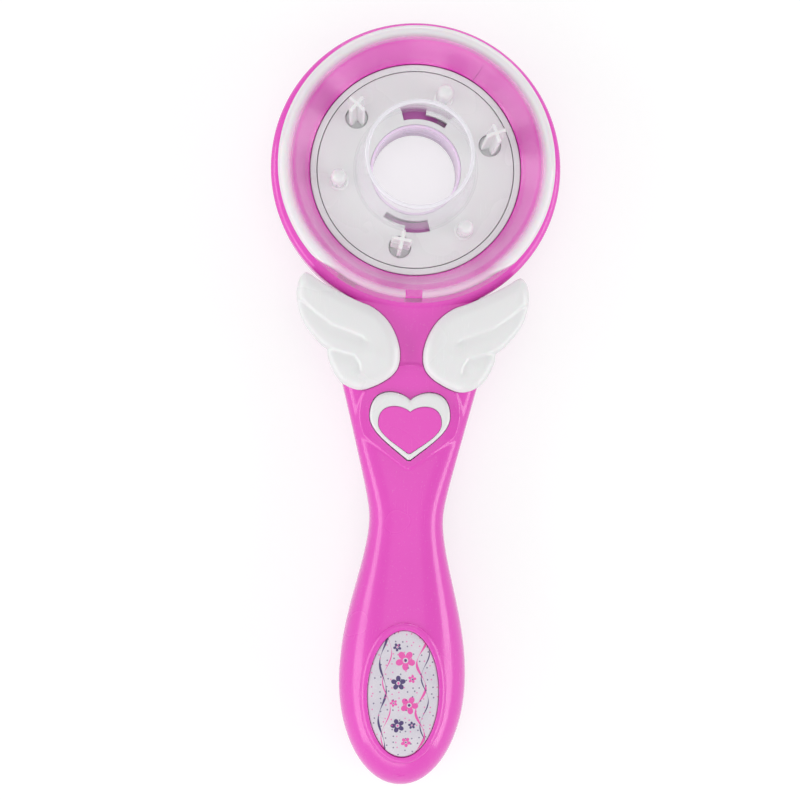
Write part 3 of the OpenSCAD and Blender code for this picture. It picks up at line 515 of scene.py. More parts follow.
def handling_group():
    """Hairline rubs in patches, and a little dust."""
    w, given, result = new_group("handling marks", [
        ("Vector", VECTOR, None), ("Rubs", FLOAT, 0.5), ("Dust", FLOAT, 0.2)], [
        ("Rub", FLOAT), ("Dust", FLOAT)])
    stretched = w.vector("MULTIPLY", given["Vector"], (2600.0, 90.0, 900.0))
    line = w.spread(w.noise(stretched, 1.0, 2.0, 0.7, 1.5), 0.62, 0.7, 0.0, 1.0)
    where = w.spread(w.noise(given["Vector"], 45.0, 2.0, 0.6), 0.45, 0.65, 0.0, 1.0)
    w.feed(result["Rub"], w.math("MULTIPLY", w.math("MULTIPLY", line, where), given["Rubs"]))
    speck = w.spread(w.noise(given["Vector"], 1500.0, 1.0), 0.66, 0.72, 0.0, 1.0)
    w.feed(result["Dust"], w.math("MULTIPLY", speck, given["Dust"]))
    return w.tree


def blossom_group():
    """Five-petalled blossom with a round heart, as a mask of its petals and its middle."""
    w, given, result = new_group("blossom", [
        ("Vector", VECTOR, None), ("Centre", VECTOR, None), ("Size", FLOAT, 1.0),
        ("Turn", FLOAT, 0.0)], [("Petals", FLOAT), ("Middle", FLOAT)])
    away = w.vector("SUBTRACT", given["Vector"], given["Centre"])
    x, y = w.split(away)[:2]
    radius = w.math("DIVIDE", w.math("SQRT", w.math("ADD", w.math("MULTIPLY", x, x),
                                                    w.math("MULTIPLY", y, y))), given["Size"])
    angle = w.math("ADD", w.math("ARCTAN2", y, x), given["Turn"])
    lobes = w.math("ABSOLUTE", w.math("COSINE", w.math("MULTIPLY", angle, 2.5)))
    reach = w.math("MULTIPLY_ADD", w.math("POWER", lobes, 0.7), 0.62, 0.38)
    inside = w.spread(w.math("SUBTRACT", reach, radius), -0.03, 0.03, 0.0, 1.0)
    hollow = w.spread(radius, 0.24, 0.3, 0.0, 1.0)
    w.feed(result["Petals"], w.math("MULTIPLY", inside, hollow))
    w.feed(result["Middle"], w.spread(radius, 0.13, 0.18, 1.0, 0.0))
    return w.tree


def ribbon_group():
    """Wavy band of changing width along Y, as a mask."""
    w, given, result = new_group("ribbon", [
        ("Vector", VECTOR, None), ("Place", FLOAT, 0.0), ("Swing", FLOAT, 1.0),
        ("Pitch", FLOAT, 1.0), ("Start", FLOAT, 0.0), ("Width", FLOAT, 0.3)], [("Mask", FLOAT)])
    across, along = w.split(given["Vector"])[:2]
    phase = w.math("MULTIPLY_ADD", along, given["Pitch"], given["Start"])
    centre = w.math("MULTIPLY_ADD", w.math("SINE", phase), given["Swing"], given["Place"])
    away = w.math("ABSOLUTE", w.math("SUBTRACT", across, centre))
    swell = w.math("MULTIPLY_ADD", w.math("SINE", w.math("MULTIPLY", phase, 2.0)), 0.45, 0.6)
    width = w.math("MULTIPLY", swell, given["Width"])
    w.feed(result["Mask"], w.spread(w.math("SUBTRACT", width, away), -0.04, 0.04, 0.0, 1.0))
    return w.tree


MOULDED, HANDLED = moulding_group(), handling_group()
BLOSSOM, RIBBON = blossom_group(), ribbon_group()


def new_material(name):
    material = bpy.data.materials.new(name)
    material.use_nodes = True
    w = Wiring(material.node_tree)
    shader = material.node_tree.nodes["Principled BSDF"]
    place = w.put("ShaderNodeTexCoord").outputs["Object"]
    return material, w, shader, place


def use_group(w, group, inputs):
    node = w.put("ShaderNodeGroup", node_tree=group)
    for key, value in inputs.items():
        w.feed(node.inputs[key], value)
    return node.outputs


def moulded(w, place, ripple, grain, share):
    return use_group(w, MOULDED, {"Vector": place, "Ripple": ripple, "Grain": grain,
                                  "Grain share": share})


def plastic(name, colour, deeper, rough=(0.2, 0.28), relief=0.00002, ripple=60.0, grain=900.0,
            grain_share=0.15, coat=0.0, rubs=0.4, dust=0.04, soft=0.0):
    """Moulded plastic: flow marks in its colour, faint ripple, and marks of handling."""
    material, w, shader, place = new_material(name)
    skin = moulded(w, place, ripple, grain, grain_share)
    marks = use_group(w, HANDLED, {"Vector": place, "Rubs": rubs, "Dust": dust})
    base = w.blend(skin["Tone"], colour + (1,), deeper + (1,))
    dusty = w.blend(marks["Dust"], base, (0.8, 0.78, 0.8, 1))
    w.feed(shader.inputs["Base Color"], dusty)
    gloss = w.spread(skin["Gloss"], 0.0, 1.0, rough[0], rough[1])
    w.feed(shader.inputs["Roughness"], w.math("MULTIPLY_ADD", marks["Rub"], 0.25, gloss))
    w.relief(shader, skin["Height"], 0.6, relief)
    shader.inputs["IOR"].default_value = 1.5
    if coat:
        shader.inputs["Coat Weight"].default_value = coat
        shader.inputs["Coat Roughness"].default_value = 0.04
    if soft:
        shader.inputs["Subsurface Weight"].default_value = soft
        shader.inputs["Subsurface Radius"].default_value = (1.0, 0.6, 0.8)
        shader.inputs["Subsurface Scale"].default_value = 0.0015
    return material


def let_lamps_through(w, shader):
    """Lamps light what lies behind clear plastic."""
    lamp_ray = w.put("ShaderNodeLightPath").outputs["Is Shadow Ray"]
    open_air = w.put("ShaderNodeBsdfTransparent")
    both = w.put("ShaderNodeMixShader", {0: lamp_ray})
    w.tree.links.new(shader.outputs[0], both.inputs[1])
    w.tree.links.new(open_air.outputs[0], both.inputs[2])
    w.tree.links.new(both.outputs[0], w.tree.nodes["Material Output"].inputs["Surface"])


def clear_plastic():
    """Thin clear plastic: nearly unseen face on, whiter where it is seen along its wall, with a
    painted highlight round the top of the tube's rim.
    """
    material, w, shader, place = new_material("clear plastic")
    skin = moulded(w, place, 70.0, 1200.0, 0.05)
    marks = use_group(w, HANDLED, {"Vector": place, "Rubs": 0.4, "Dust": 0.05})
    w.feed(shader.inputs["Base Color"], w.blend(skin["Tone"], (0.89, 0.87, 0.93, 1),
                                                (0.86, 0.84, 0.905, 1)))
    along = w.put("ShaderNodeLayerWeight", {"Blend": 0.5}).outputs["Facing"]
    film = w.math("MULTIPLY_ADD", w.math("POWER", along, 4.0), 0.55, 0.03)
    # Painted highlight: the top of the tube's rim is made whiter by height, in place of the glint of
    # light on it.
    painted_rim_highlight = w.spread(w.split(place)[2], 0.0434, 0.0443, 0.0, 0.75, "SMOOTHSTEP")
    film = w.math("ADD", film, painted_rim_highlight)
    w.feed(shader.inputs["Alpha"], w.math("ADD", film, w.math("MULTIPLY", marks["Rub"], 0.1)))
    w.feed(shader.inputs["Roughness"], w.math("MULTIPLY_ADD", marks["Rub"], 0.2, 0.04))
    w.relief(shader, skin["Height"], 0.4, 0.00002)
    shader.inputs["IOR"].default_value = 1.49
    let_lamps_through(w, shader)
    return material


def milky_and_reflection_plastic():
    """Clear plastic made white in its thick rolled edge, partly milky plastic and partly a painted
    reflection of the light overhead, and clear again down its wall.
    """
    material, w, shader, place = new_material("milky plastic and painted reflection")
    along, height = w.split(place)[1:]
    radius = w.vector("LENGTH", w.vector("MULTIPLY", place, (1.0, 1.0, 0.0)), out=1)
    skin = moulded(w, place, 70.0, 1200.0, 0.1)
    # Painted reflection: the white band on the rolled edge is partly milky plastic and partly paint
    # standing in for the reflection of the light overhead. It starts higher, and so runs narrower,
    # towards the notch.
    rolled = w.spread(radius, 0.038, 0.0415, 0.1, 0.9, "SMOOTHSTEP")
    painted_band_start = w.spread(along, -0.034, -0.022, 0.0272, 0.0225, "SMOOTHSTEP")
    wall = w.spread(height, painted_band_start, w.math("ADD", painted_band_start, 0.0008), 0.16, 1.0, "SMOOTHSTEP")
    w.feed(shader.inputs["Alpha"], w.math("MULTIPLY", rolled, wall))
    w.feed(shader.inputs["Base Color"], w.blend(skin["Tone"], (0.86, 0.86, 0.87, 1),
                                                (0.83, 0.83, 0.845, 1)))
    w.feed(shader.inputs["Roughness"], w.spread(skin["Gloss"], 0.0, 1.0, 0.1, 0.16))
    w.relief(shader, skin["Height"], 0.4, 0.00002)
    shader.inputs["Subsurface Weight"].default_value = 0.15
    shader.inputs["Subsurface Scale"].default_value = 0.002
    let_lamps_through(w, shader)
    return material


def metal(name, colour, rough, grain=(900.0, 900.0, 60.0)):
    """Drawn or turned metal: fine lines along one direction and duller patches."""
    material, w, shader, place = new_material(name)
    lines = w.noise(w.vector("MULTIPLY", place, grain), 3.0, 3.0, 0.6)
    shade = w.spread(w.noise(place, 160.0, 3.0), 0.35, 0.65, 0.0, 1.0)
    w.feed(shader.inputs["Base Color"], w.blend(shade, colour + (1,),
                                                tuple(c * 0.78 for c in colour) + (1,)))
    shader.inputs["Metallic"].default_value = 1.0
    w.feed(shader.inputs["Roughness"], w.spread(shade, 0.0, 1.0, rough[0], rough[1]))
    w.relief(shader, lines, 0.5, 0.000004)
    return material


def label_print():
    """Generic print: two ribbons, blossoms and dots on a pale lilac ground."""
    material, w, shader, place = new_material("printed label")
    to_mm = w.put("ShaderNodeMapping", {"Vector": place, "Location": (0, -LABEL[2], 0),
                                        "Scale": (1000, 1000, 1000)}).outputs[0]
    colour = w.blend(w.spread(w.noise(to_mm, 0.12, 2.0), 0.35, 0.65, 0.0, 1.0),
                     (0.7, 0.665, 0.72, 1), (0.63, 0.6, 0.67, 1))
    pink, plum = (0.78, 0.1, 0.42, 1), (0.075, 0.045, 0.16, 1)
    for place_x, swing, pitch, start, width, ink in (
            (5.4, 1.5, 0.42, 0.6, 0.42, pink), (6.6, 1.2, 0.42, 2.4, 0.2, plum),
            (-6.4, 1.1, 0.36, 1.2, 0.34, plum), (-5.2, 1.3, 0.36, 3.2, 0.2, pink)):
        band = use_group(w, RIBBON, {"Vector": to_mm, "Place": place_x, "Swing": swing,
                                     "Pitch": pitch, "Start": start, "Width": width})
        colour = w.blend(band["Mask"], colour, ink)
    for x, y, size, turn, ink, middle in (
            (0.4, 10.6, 3.1, 0.3, pink, plum), (-1.6, 3.6, 2.3, 0.9, plum, pink),
            (1.9, -3.2, 2.8, 0.1, pink, plum), (-1.5, -9.6, 2.2, 0.6, plum, pink),
            (1.2, -14.8, 1.6, 0.2, pink, plum), (2.6, 4.9, 1.3, 1.1, pink, plum),
            (-2.9, -2.6, 1.2, 0.5, pink, plum), (-2.2, 14.6, 1.3, 0.4, plum, pink),
            (2.9, -9.4, 1.2, 0.8, plum, pink)):
        bloom = use_group(w, BLOSSOM, {"Vector": to_mm, "Centre": (x, y, 0), "Size": size,
                                       "Turn": turn})
        colour = w.blend(bloom["Petals"], colour, ink)
        colour = w.blend(bloom["Middle"], colour, middle)
    dots = w.put("ShaderNodeTexVoronoi", {"Vector": w.vector("MULTIPLY", to_mm, (1, 1, 0)),
                                          "Scale": 0.5, "Randomness": 0.75},
                 feature="F1", voronoi_dimensions="2D")
    speck = w.spread(dots.outputs["Distance"], 0.1, 0.14, 1.0, 0.0)
    choice = w.put("ShaderNodeSeparateColor", {"Color": dots.outputs["Color"]}).outputs[0]
    tint = w.blend(w.math("GREATER_THAN", choice, 0.5), pink, plum)
    colour = w.blend(w.math("MULTIPLY", speck, 0.8), colour, tint)
    w.feed(shader.inputs["Base Color"], colour)
    fine = w.noise(to_mm, 2.0, 3.0)
    w.feed(shader.inputs["Roughness"], w.spread(fine, 0.3, 0.7, 0.22, 0.3))
    w.relief(shader, fine, 0.3, 0.00001)
    return material


def board_print():
    """Green board with copper tracks under its lacquer."""
    material, w, shader, place = new_material("circuit board")
    to_mm = w.vector("MULTIPLY", place, (1000.0, 1000.0, 1000.0))
    tracks = w.put("ShaderNodeTexBrick", {"Vector": to_mm, "Scale": 0.35, "Mortar Size": 0.03,
                                          "Color1": (0.02, 0.17, 0.06, 1),
                                          "Color2": (0.02, 0.14, 0.05, 1),
                                          "Mortar": (0.07, 0.34, 0.13, 1)})
    weave = w.put("ShaderNodeTexChecker", {"Vector": to_mm, "Scale": 3.0,
                                           "Color1": (0.9, 0.9, 0.9, 1),
                                           "Color2": (1, 1, 1, 1)})
    both = w.put("ShaderNodeMix", data_type="RGBA", blend_type="MULTIPLY")
    for socket, value in zip((both.inputs[0], both.inputs[6], both.inputs[7]),
                             (1.0, tracks.outputs["Color"], weave.outputs["Color"])):
        w.feed(socket, value)
    w.feed(shader.inputs["Base Color"], both.outputs[2])
    w.feed(shader.inputs["Roughness"], w.spread(weave.outputs["Fac"], 0, 1, 0.3, 0.4))
    w.relief(shader, tracks.outputs["Fac"], 0.5, 0.00004)
    return material


def wire_sleeve():
    """Red sleeve on the right, black on the left, slightly waxy."""
    material, w, shader, place = new_material("wire sleeve")
    right = w.math("GREATER_THAN", w.split(place)[0], 0.0)
    skin = moulded(w, place, 300.0, 2500.0, 0.3)
    hue = w.blend(right, (0.02, 0.02, 0.022, 1), (0.55, 0.015, 0.02, 1))
    w.feed(shader.inputs["Base Color"], w.blend(w.math("MULTIPLY", skin["Tone"], 0.2), hue,
                                                (0.3, 0.25, 0.25, 1)))
    w.feed(shader.inputs["Roughness"], w.spread(skin["Gloss"], 0, 1, 0.35, 0.5))
    w.relief(shader, skin["Height"], 0.5, 0.00003)
    return material


def cell_sleeve():
    """Dark foil sleeve with one bright band, bare metal at both ends."""
    material, w, shader, place = new_material("cell sleeve")
    along = w.split(place)[1]
    low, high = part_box("cell_left")
    band = w.math("MULTIPLY", w.math("GREATER_THAN", along, high.y - 0.014),
                  w.math("LESS_THAN", along, high.y - 0.0055))
    ends = w.math("MAXIMUM", w.math("GREATER_THAN", along, high.y - 0.0017),
                  w.math("LESS_THAN", along, low.y + 0.0017))
    foil = w.noise(place, 500.0, 3.0)
    dark = w.blend(foil, (0.035, 0.04, 0.055, 1), (0.06, 0.065, 0.085, 1))
    sleeve = w.blend(band, dark, (0.72, 0.5, 0.16, 1))
    w.feed(shader.inputs["Base Color"], w.blend(ends, sleeve, (0.62, 0.62, 0.63, 1)))
    w.feed(shader.inputs["Metallic"], w.math("MAXIMUM", ends, w.math("MULTIPLY", band, 0.8)))
    w.feed(shader.inputs["Roughness"], w.spread(foil, 0.3, 0.7, 0.24, 0.36))
    w.relief(shader, foil, 0.3, 0.00001)
    return material


PINK = plastic("pink casing plastic", (0.79, 0.062, 0.53), (0.765, 0.056, 0.51), coat=0.25,
               soft=0.06)
INLAY = plastic("pink inlay plastic", (0.8, 0.075, 0.53), (0.78, 0.068, 0.515),
                rough=(0.26, 0.34), coat=0.1)
# Painted light: the gear's pink is painted lighter than its own colour to offset the shade down in
# the plate's windows.
PINK_GEAR_LIGHTENED = plastic("pink gear plastic painted lighter", (0.78, 0.2, 0.66), (0.72, 0.17, 0.61),
                    rough=(0.4, 0.5), relief=0.00004, grain_share=0.5)
WHITE = plastic("white trim plastic", (0.81, 0.81, 0.815), (0.795, 0.795, 0.8),
                rough=(0.22, 0.3), soft=0.25)
LILAC = plastic("lilac sleeve plastic", (0.88, 0.7, 0.91), (0.86, 0.67, 0.89), soft=0.3)
GEARS = plastic("gear plastic", (0.74, 0.73, 0.7), (0.7, 0.69, 0.66), rough=(0.38, 0.5),
                relief=0.00004, grain_share=0.5)
BLACK = plastic("black switch plastic", (0.02, 0.02, 0.02), (0.03, 0.03, 0.03),
                rough=(0.4, 0.52), relief=0.00005, grain_share=0.8)
CLEAR = clear_plastic()
MILKY_AND_REFLECTION = milky_and_reflection_plastic()
LABEL_PRINT = label_print()
BOARD = board_print()
WIRES = wire_sleeve()
CELLS = cell_sleeve()
CAN = metal("motor can steel", (0.56, 0.56, 0.55), (0.3, 0.42), grain=(60.0, 60.0, 1500.0))
STEEL = metal("bright steel", (0.66, 0.66, 0.67), (0.18, 0.3))
BRASS = metal("brass", (0.72, 0.5, 0.18), (0.22, 0.34))
SLOT_FINISHES = {"pink_casing": PINK, "pink_inlay": INLAY, "pink_gear": PINK_GEAR_LIGHTENED,
                 "white_plastic": WHITE, "lilac_plastic": LILAC, "gear_plastic": GEARS,
                 "clear_plastic": CLEAR, "label": LABEL_PRINT, "black_plastic": BLACK,
                 "circuit_board": BOARD, "wire_sleeve": WIRES, "cell_sleeve": CELLS,
                 "motor_steel": CAN, "steel": STEEL, "brass": BRASS}


def finished(piece, name, body, slot, *nodes, smooth=32.0):
    """Puts a piece in the frame: true size, shading, finish, body, slot and what it stands for."""
    choose(piece)
    piece.name = piece.data.name = name
    piece.scale = (MM, MM, MM)
    bpy.ops.object.transform_apply(location=True, rotation=True, scale=True)
    bpy.ops.object.shade_smooth_by_angle(angle=math.radians(smooth))
    apply_step(piece, "shading", "WEIGHTED_NORMAL", keep_sharp=True)
    piece.data.materials.clear()
    piece.data.materials.append(SLOT_FINISHES[slot])
    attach(piece, body)
    if nodes:
        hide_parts(*nodes)
    return piece


# ---- casing ----
def section(s, inset, side, count):
    """Points across one half of the handle, evenly spaced along its surface."""
    width = half_width(s, inset)
    depth = front_depth(s, inset) if side > 0 else back_depth(s, inset)
    power = squareness(s, side)
    low = max(0.0, inset)
    fine = []
    for i in range(241):
        a = math.pi * i / 240
        c, q = math.cos(a), max(0.0, math.sin(a))
        if i in (0, 240):
            q = 0.0
        x = width * math.copysign(abs(c) ** (2 / power), c)
        fine.append((x, max(low, PART_Z + side * depth * q ** (2 / power))))
    lengths = [0.0]
    for (ax, az), (bx, bz) in zip(fine, fine[1:]):
        lengths.append(lengths[-1] + math.hypot(bx - ax, bz - az))
    points, k = [], 0
    for i in range(count + 1):
        want = lengths[-1] * i / count
        while k < 239 and lengths[k + 1] < want:
            k += 1
        gap = lengths[k + 1] - lengths[k]
        t = (want - lengths[k]) / gap if gap > 1e-9 else 0.0
        t = min(max(t, 0.0), 1.0)
        points.append((mix(fine[k][0], fine[k + 1][0], t), mix(fine[k][1], fine[k + 1][1], t)))
    return points


def stations(inset, first, close):
    """Places of the sections: closer together from close[0] to close[1], and to the tail's end."""
    places, s = [], first
    while s < GRIP_S - 0.5:
        places.append(s)
        s += close[2] if close[0] <= s < close[1] else 1.6
    return places + [GRIP_S + (TAIL_L - inset) * math.sin(math.radians(90 * i / 20))
                     for i in range(21)]


PAD = rounded([(0, HEART_Y - 23.9, 2.2), (-9.6, HEART_Y - 16.9, 6)]
              + [(x, y, 0) for x, y in arc(0, HEART_Y - 7, 15.8, 15.8, 205, -25, 40)]
              + [(9.6, HEART_Y - 16.9, 6)])
PAD_RISE = 0.45
PAD_BEAD = 0.28          # fine raised line round the heart's pad


def handle(name, inset, side, skirt, first=38.0, count=56, close=(0, 0, 1), raised=False):
    """Closed half of the handle; its skirt reaches past the joint so that it can be trimmed."""
    pad_depth = outline_field(PAD) if raised else None
    rings = []
    for s in stations(max(0.0, inset), first, close):
        ring = []
        for x, z in section(s, inset, side, count):
            if raised and z > PART_Z + 3 and close[0] - 4 < s < close[1] + 4:
                inside = pad_depth(x, -s)[0]
                z += PAD_RISE * ease(inside + 0.5) + PAD_BEAD * math.exp(-(inside / 0.55) ** 2)
            ring.append((x, -s, z))
        right, left = ring[0], ring[-1]
        ring += [(left[0], -s, PART_Z - side * skirt), (right[0], -s, PART_Z - side * skirt)]
        rings.append(ring)
    return lofted(name, rings)


TAB_RING = 41.4          # radius of the cover's tabs


def cover_tabs(name, half, inner, outer, low, high):
    """Three short blocks round the head, each reaching half its width to either side."""
    step = math.degrees(half / TAB_RING)
    return [turned(name, [(inner, low), (outer, low), (outer, high), (inner, high)], steps=8,
                   first=turn - step, sweep=2 * step) for turn in (0, 120, 240)]


def front_casing():
    deck_in, deck_low, head_in = 40.4, 18.3, 43.6
    dish_out, dish_in, dish_back = 33.45, 31.55, 33.8
    floor, under = 13.3, 11.6
    shell = handle("front casing", 0.0, 1, 1.0, count=120, close=(57, 97, 0.45), raised=True)
    head = turned("front of head", rounded([
        (HEAD_R, PART_Z - 1, 0), (HEAD_R, DECK_Z, 3.0), (deck_in, DECK_Z, 0.35),
        (dish_out, PLATE_Z, 0.2), (dish_out, floor, 0), (dish_in, floor, 0.15),
        (dish_in, under, 0.15), (dish_back, under, 0), (deck_in, deck_low, 0),
        (head_in, deck_low, 0), (head_in, PART_Z - 1, 0)], 6))
    a, b, y = LABEL
    border = []
    for i in range(160):
        turn = 2 * math.pi * i / 160
        out = Vector((math.cos(turn) / a, math.sin(turn) / b)).normalized()
        ring = []
        for k in range(20):
            lean = 2 * math.pi * k / 20
            away = 1.25 + 1.2 * math.cos(lean)
            px, py = a * math.cos(turn) + out.x * away, y + b * math.sin(turn) + out.y * away
            rise = 0.8 * math.sin(lean) if math.sin(lean) > 0 else 1.2 * math.sin(lean)
            ring.append((px, py, front_z(px, py) + rise))
        border.append(ring)
    fuse(shell, head, lofted("label border", border, closed=True))
    air = turned("air in head", [
        (0, PART_Z - 2), (head_in, PART_Z - 2), (head_in, deck_low), (deck_in, deck_low),
        (dish_back, under), (dish_in, under), (dish_in, 14.3), (0, 14.3)])
    cut(shell, air, handle("air in handle", WALL, 1, 2.0, first=34.0, count=40))
    fuse(shell, turned("dish", [
        (dish_out, floor), (dish_out, PLATE_Z), (deck_in, DECK_Z), (43.2, DECK_Z),
        (43.2, deck_low), (deck_in, deck_low), (dish_back, under), (dish_in, under),
        (dish_in, floor)]))
    bosses = []
    for x, y_at in BOSSES:
        top = DECK_Z - 1.5 if math.hypot(x, y_at) < HEAD_R else front_z(0, y_at, WALL) + 0.6
        bosses.append(peg("boss", x, y_at, PART_Z - 1, top, 2.8, 32))
    fuse(shell, *bosses)
    pocket = lofted("label pocket", [
        [(a * f * math.cos(t), LABEL[2] + b * f * math.sin(t), z) for t, f in
         ((2 * math.pi * i / 128, grow) for i in range(128))]
        for grow, z in ((1.014, 20.0), (1.014, 40.0))])
    cut(pocket, handle("under label", 0.6, 1, 2.0, first=120.0, count=64))
    tools = [pocket,
             turned("air over dish", [(0, floor), (dish_out, floor), (dish_out, PLATE_Z),
                                      (deck_in, DECK_Z), (deck_in, 26), (0, 26)]),
             prism("heart hole", grown_heart(0.24), NECK_Z - 5, NECK_Z + 5)]
    seat = [(x, y_at) for x, y_at in grown(wing_outline(), 0.26) if x < 23.5]
    tools += [prism("wing seat", line, NECK_Z - 0.75, NECK_Z + 5)
              for line in (seat, [(-x, y_at) for x, y_at in seat][::-1])]
    tools += cover_tabs("tab slot", 3.15, 40.75, 42.15, 19.4, 22)
    tools += [peg("screw hole", x, y_at, PART_Z - 2, PART_Z + 4.6, 1.22, 24)
              for x, y_at in BOSSES]
    tools += [peg("wing peg hole", side * x, y_at, NECK_Z - 3, NECK_Z + 1, 1.43, 24)
              for side in (-1, 1) for x, y_at in ((12.5, -53.4), (13.5, -64.9))]
    cut(shell, *tools)
    trim(shell, PART_Z, keep_above=True)
    return finished(shell, "front_shell", "casing", "pink_casing", "front_casing")


def grown_heart(grow):
    return heart_outline(HEART_W + 2 * grow, HEART_L + 2.6 * grow, HEART_Y + grow)


def back_head(name, r_in, inset, top, steps=180):
    r = 7.4 - inset
    return turned(name, [(r_in, inset)] + arc(38.0, 7.4, r, r, -90, 0, 12)
                  + [(HEAD_R - inset, top), (r_in, top)], steps)


def back_casing():
    shell = handle("back casing", 0.0, -1, 1.0, count=72)
    fuse(shell, back_head("back of head", 0.0, 0.0, PART_Z + 1))
    cut(shell, back_head("air in head", 0.0, WALL, PART_Z + 2),
        handle("air in handle", WALL, -1, 2.0, first=34.0, count=48))
    insides = [peg("boss", x, y, WALL - 0.6, PART_Z + 1, 3.7, 32) for x, y in BOSSES]
    insides += [peg("bridge pillar", x, y, WALL - 0.6, 11.9, 2.2, 28)
                for x, y in ((-9, -41.0), (18.5, -37.0))]
    insides += [peg("motor foot", x, y, WALL - 0.6, 6.5, 1.5, 24)
                for x, y in ((-8, -52.44), (-7.5, -63.44), (7.5, -65.44))]
    insides += [peg("board post", x, y, WALL - 0.6, 8.8, 1.4, 24)
                for x in (-9, 9) for y in (-87.94, -73.94)]
    bay_top, bay_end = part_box("cell_link")[1].y / MM + 0.3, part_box("cell_contacts")[0].y / MM
    insides += [slab("bay wall", -10.85, 10.85, y, y + 1.2, WALL - 0.6, PART_Z + 1)
                for y in (bay_top, bay_end - 1.2)]
    insides.append(peg("idler seat", 5.737, -44.672, WALL - 0.6, 1.85, 2.4, 28))
    low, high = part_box("door_screw")
    screw_y = (low.y + high.y) / 2 / MM
    insides.append(peg("door boss", 0, screw_y, WALL + 0.3, WALL + 5.3, 2.5, 28))
    keep = handle("inside of back", 0.4, -1, 2.0, count=48)
    fuse(keep, back_head("inside of head", 0.0, 0.4, PART_Z + 2))
    inner = insides[0]
    fuse(inner, *insides[1:])
    combine(inner, [keep], "INTERSECT")
    fuse(shell, inner)
    tools = [peg("hair hole", 0, 0, -1, PART_Z + 3, 14.35, 128)]
    for x, y in BOSSES:
        tools.append(peg("screw well", x, y, -1, 5.0, 2.7, 40))
        tools.append(peg("screw hole", x, y, 4.0, PART_Z + 2, 1.4, 28))
    low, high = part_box("battery_door")
    grow = 0.3
    tools.append(prism("door opening", rounded_box(
        low.x / MM - grow, high.x / MM + grow, low.y / MM - grow, high.y / MM + grow, 3.3, 8),
        -1, 2.0))
    tools.append(peg("door screw hole", 0, screw_y, WALL, WALL + 4.6, 0.85, 24))
    cut(shell, *tools)
    trim(shell, PART_Z, keep_above=False)
    return finished(shell, "back_shell", "casing", "pink_casing", "back_casing")


def battery_door():
    low, high = (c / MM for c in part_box("battery_door"))
    x0, x1, y0, y1 = low.x, high.x, low.y, high.y
    door = prism("battery door", rounded_box(x0, x1, y0, y1, 3, 8), 0.2, WALL)
    bevelled(door, 0.25, 3, 50)
    grooves = []
    for i in range(6):
        y = y1 - 13 - 1.7 * i
        half = 5.2 - 0.55 * abs(i - 2.5)
        grooves.append(prism("grip groove", rounded_box(-half, half, y - 0.45, y + 0.45, 0.44, 5),
                             -0.5, 0.65))
    low, high = (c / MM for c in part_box("door_screw"))
    screw_y = (low.y + high.y) / 2
    cut(door, *grooves, peg("screw seat", 0, screw_y, -1, 0.7, 2.0, 40),
        peg("screw hole", 0, screw_y, -1, 3, 1.2, 28))
    fuse(door, *[slab("door toe", x - 1.5, x + 1.5, y0 + 0.4, y0 + 1.6, 1.0, WALL + 0.2)
                 for x in (-7, 7)])
    return finished(door, "battery_cover", "door", "pink_casing", "battery_door")


# ---- head ----
def clear_cover():
    """Clear funnel inside the head's rim, and the rolled edge that holds it, white partly as milky
    plastic and partly as a painted reflection.
    """
    out, top, thick, seam = 42.2, 28.0, 1.3, 38.22
    mid, swell, belly = 38.4, 4.4, 25.6
    funnel = turned("clear funnel", rounded([
        (33.6, 15.5, 0.3), (34.7, 15.9, 0.3), (37.9, 26.2, 0.5), (seam, top - thick, 0),
        (seam, top, 0), (seam - 0.32, top, 0), (37.2, 27.5, 0.6)], 4), 220)
    rim = turned("rim milky and painted reflection", [(seam + 0.02, top - thick), (seam + 0.02, top)]
                 + arc(mid, belly, swell, top - belly, 89, 0, 16)
                 + [(out, 20.5), (out - thick, 20.5)]
                 + arc(mid, belly, swell - thick, top - belly - thick, 0, 88, 12), 220)
    fuse(rim, *cover_tabs("tab", 3.0, 41.0, 42.0, 19.6, 20.8))
    cut(rim, slab("notch", -2.6, 2.6, -out - 1, -out + 3.4, 21.5, top + 1))
    finished(rim, "cover_edge_milky_and_reflection", "casing", "clear_plastic", smooth=40).data.materials[0] = MILKY_AND_REFLECTION
    return finished(funnel, "ring_cover", "casing", "clear_plastic", "clear_cover", smooth=40)


def bezel_ring():
    ring = turned("bezel ring", rounded([(31.2, 13.3, 0.1), (33.2, 13.3, 0.1),
                                         (33.2, PLATE_Z, 0.35), (31.2, PLATE_Z, 0.15)], 5))
    return finished(ring, "white_bezel", "casing", "white_plastic", "bezel_ring")


def hair_sleeve():
    sleeve = turned("hair sleeve", rounded([
        (13.5, 0, 0.3), (14.3, 0, 0.1), (14.3, 1.8, 0), (16.95, 1.8, 0.1), (16.95, 2.6, 0.1),
        (14.3, 2.6, 0.1), (14.3, PLATE_Z, 0.25), (13.5, PLATE_Z, 0.3)], 4), 128)
    return finished(sleeve, "hair_tube_sleeve", "casing", "lilac_plastic", "hair_sleeve")


def gear_collar():
    """Raised collar of the fixed gear, just under the plate's windows."""
    collar = turned("gear collar", rounded([
        (17.2, 7.5, 0), (18.6, 7.5, 0), (18.6, 10.2, 0.2), (20.3, 10.2, 0.15), (20.3, 11.1, 0.15),
        (16.3, 11.1, 0.15), (16.3, 10.2, 0.15), (17.2, 10.2, 0.2)], 3), 128)
    return finished(collar, "fixed_gear_collar", "casing", "pink_gear")


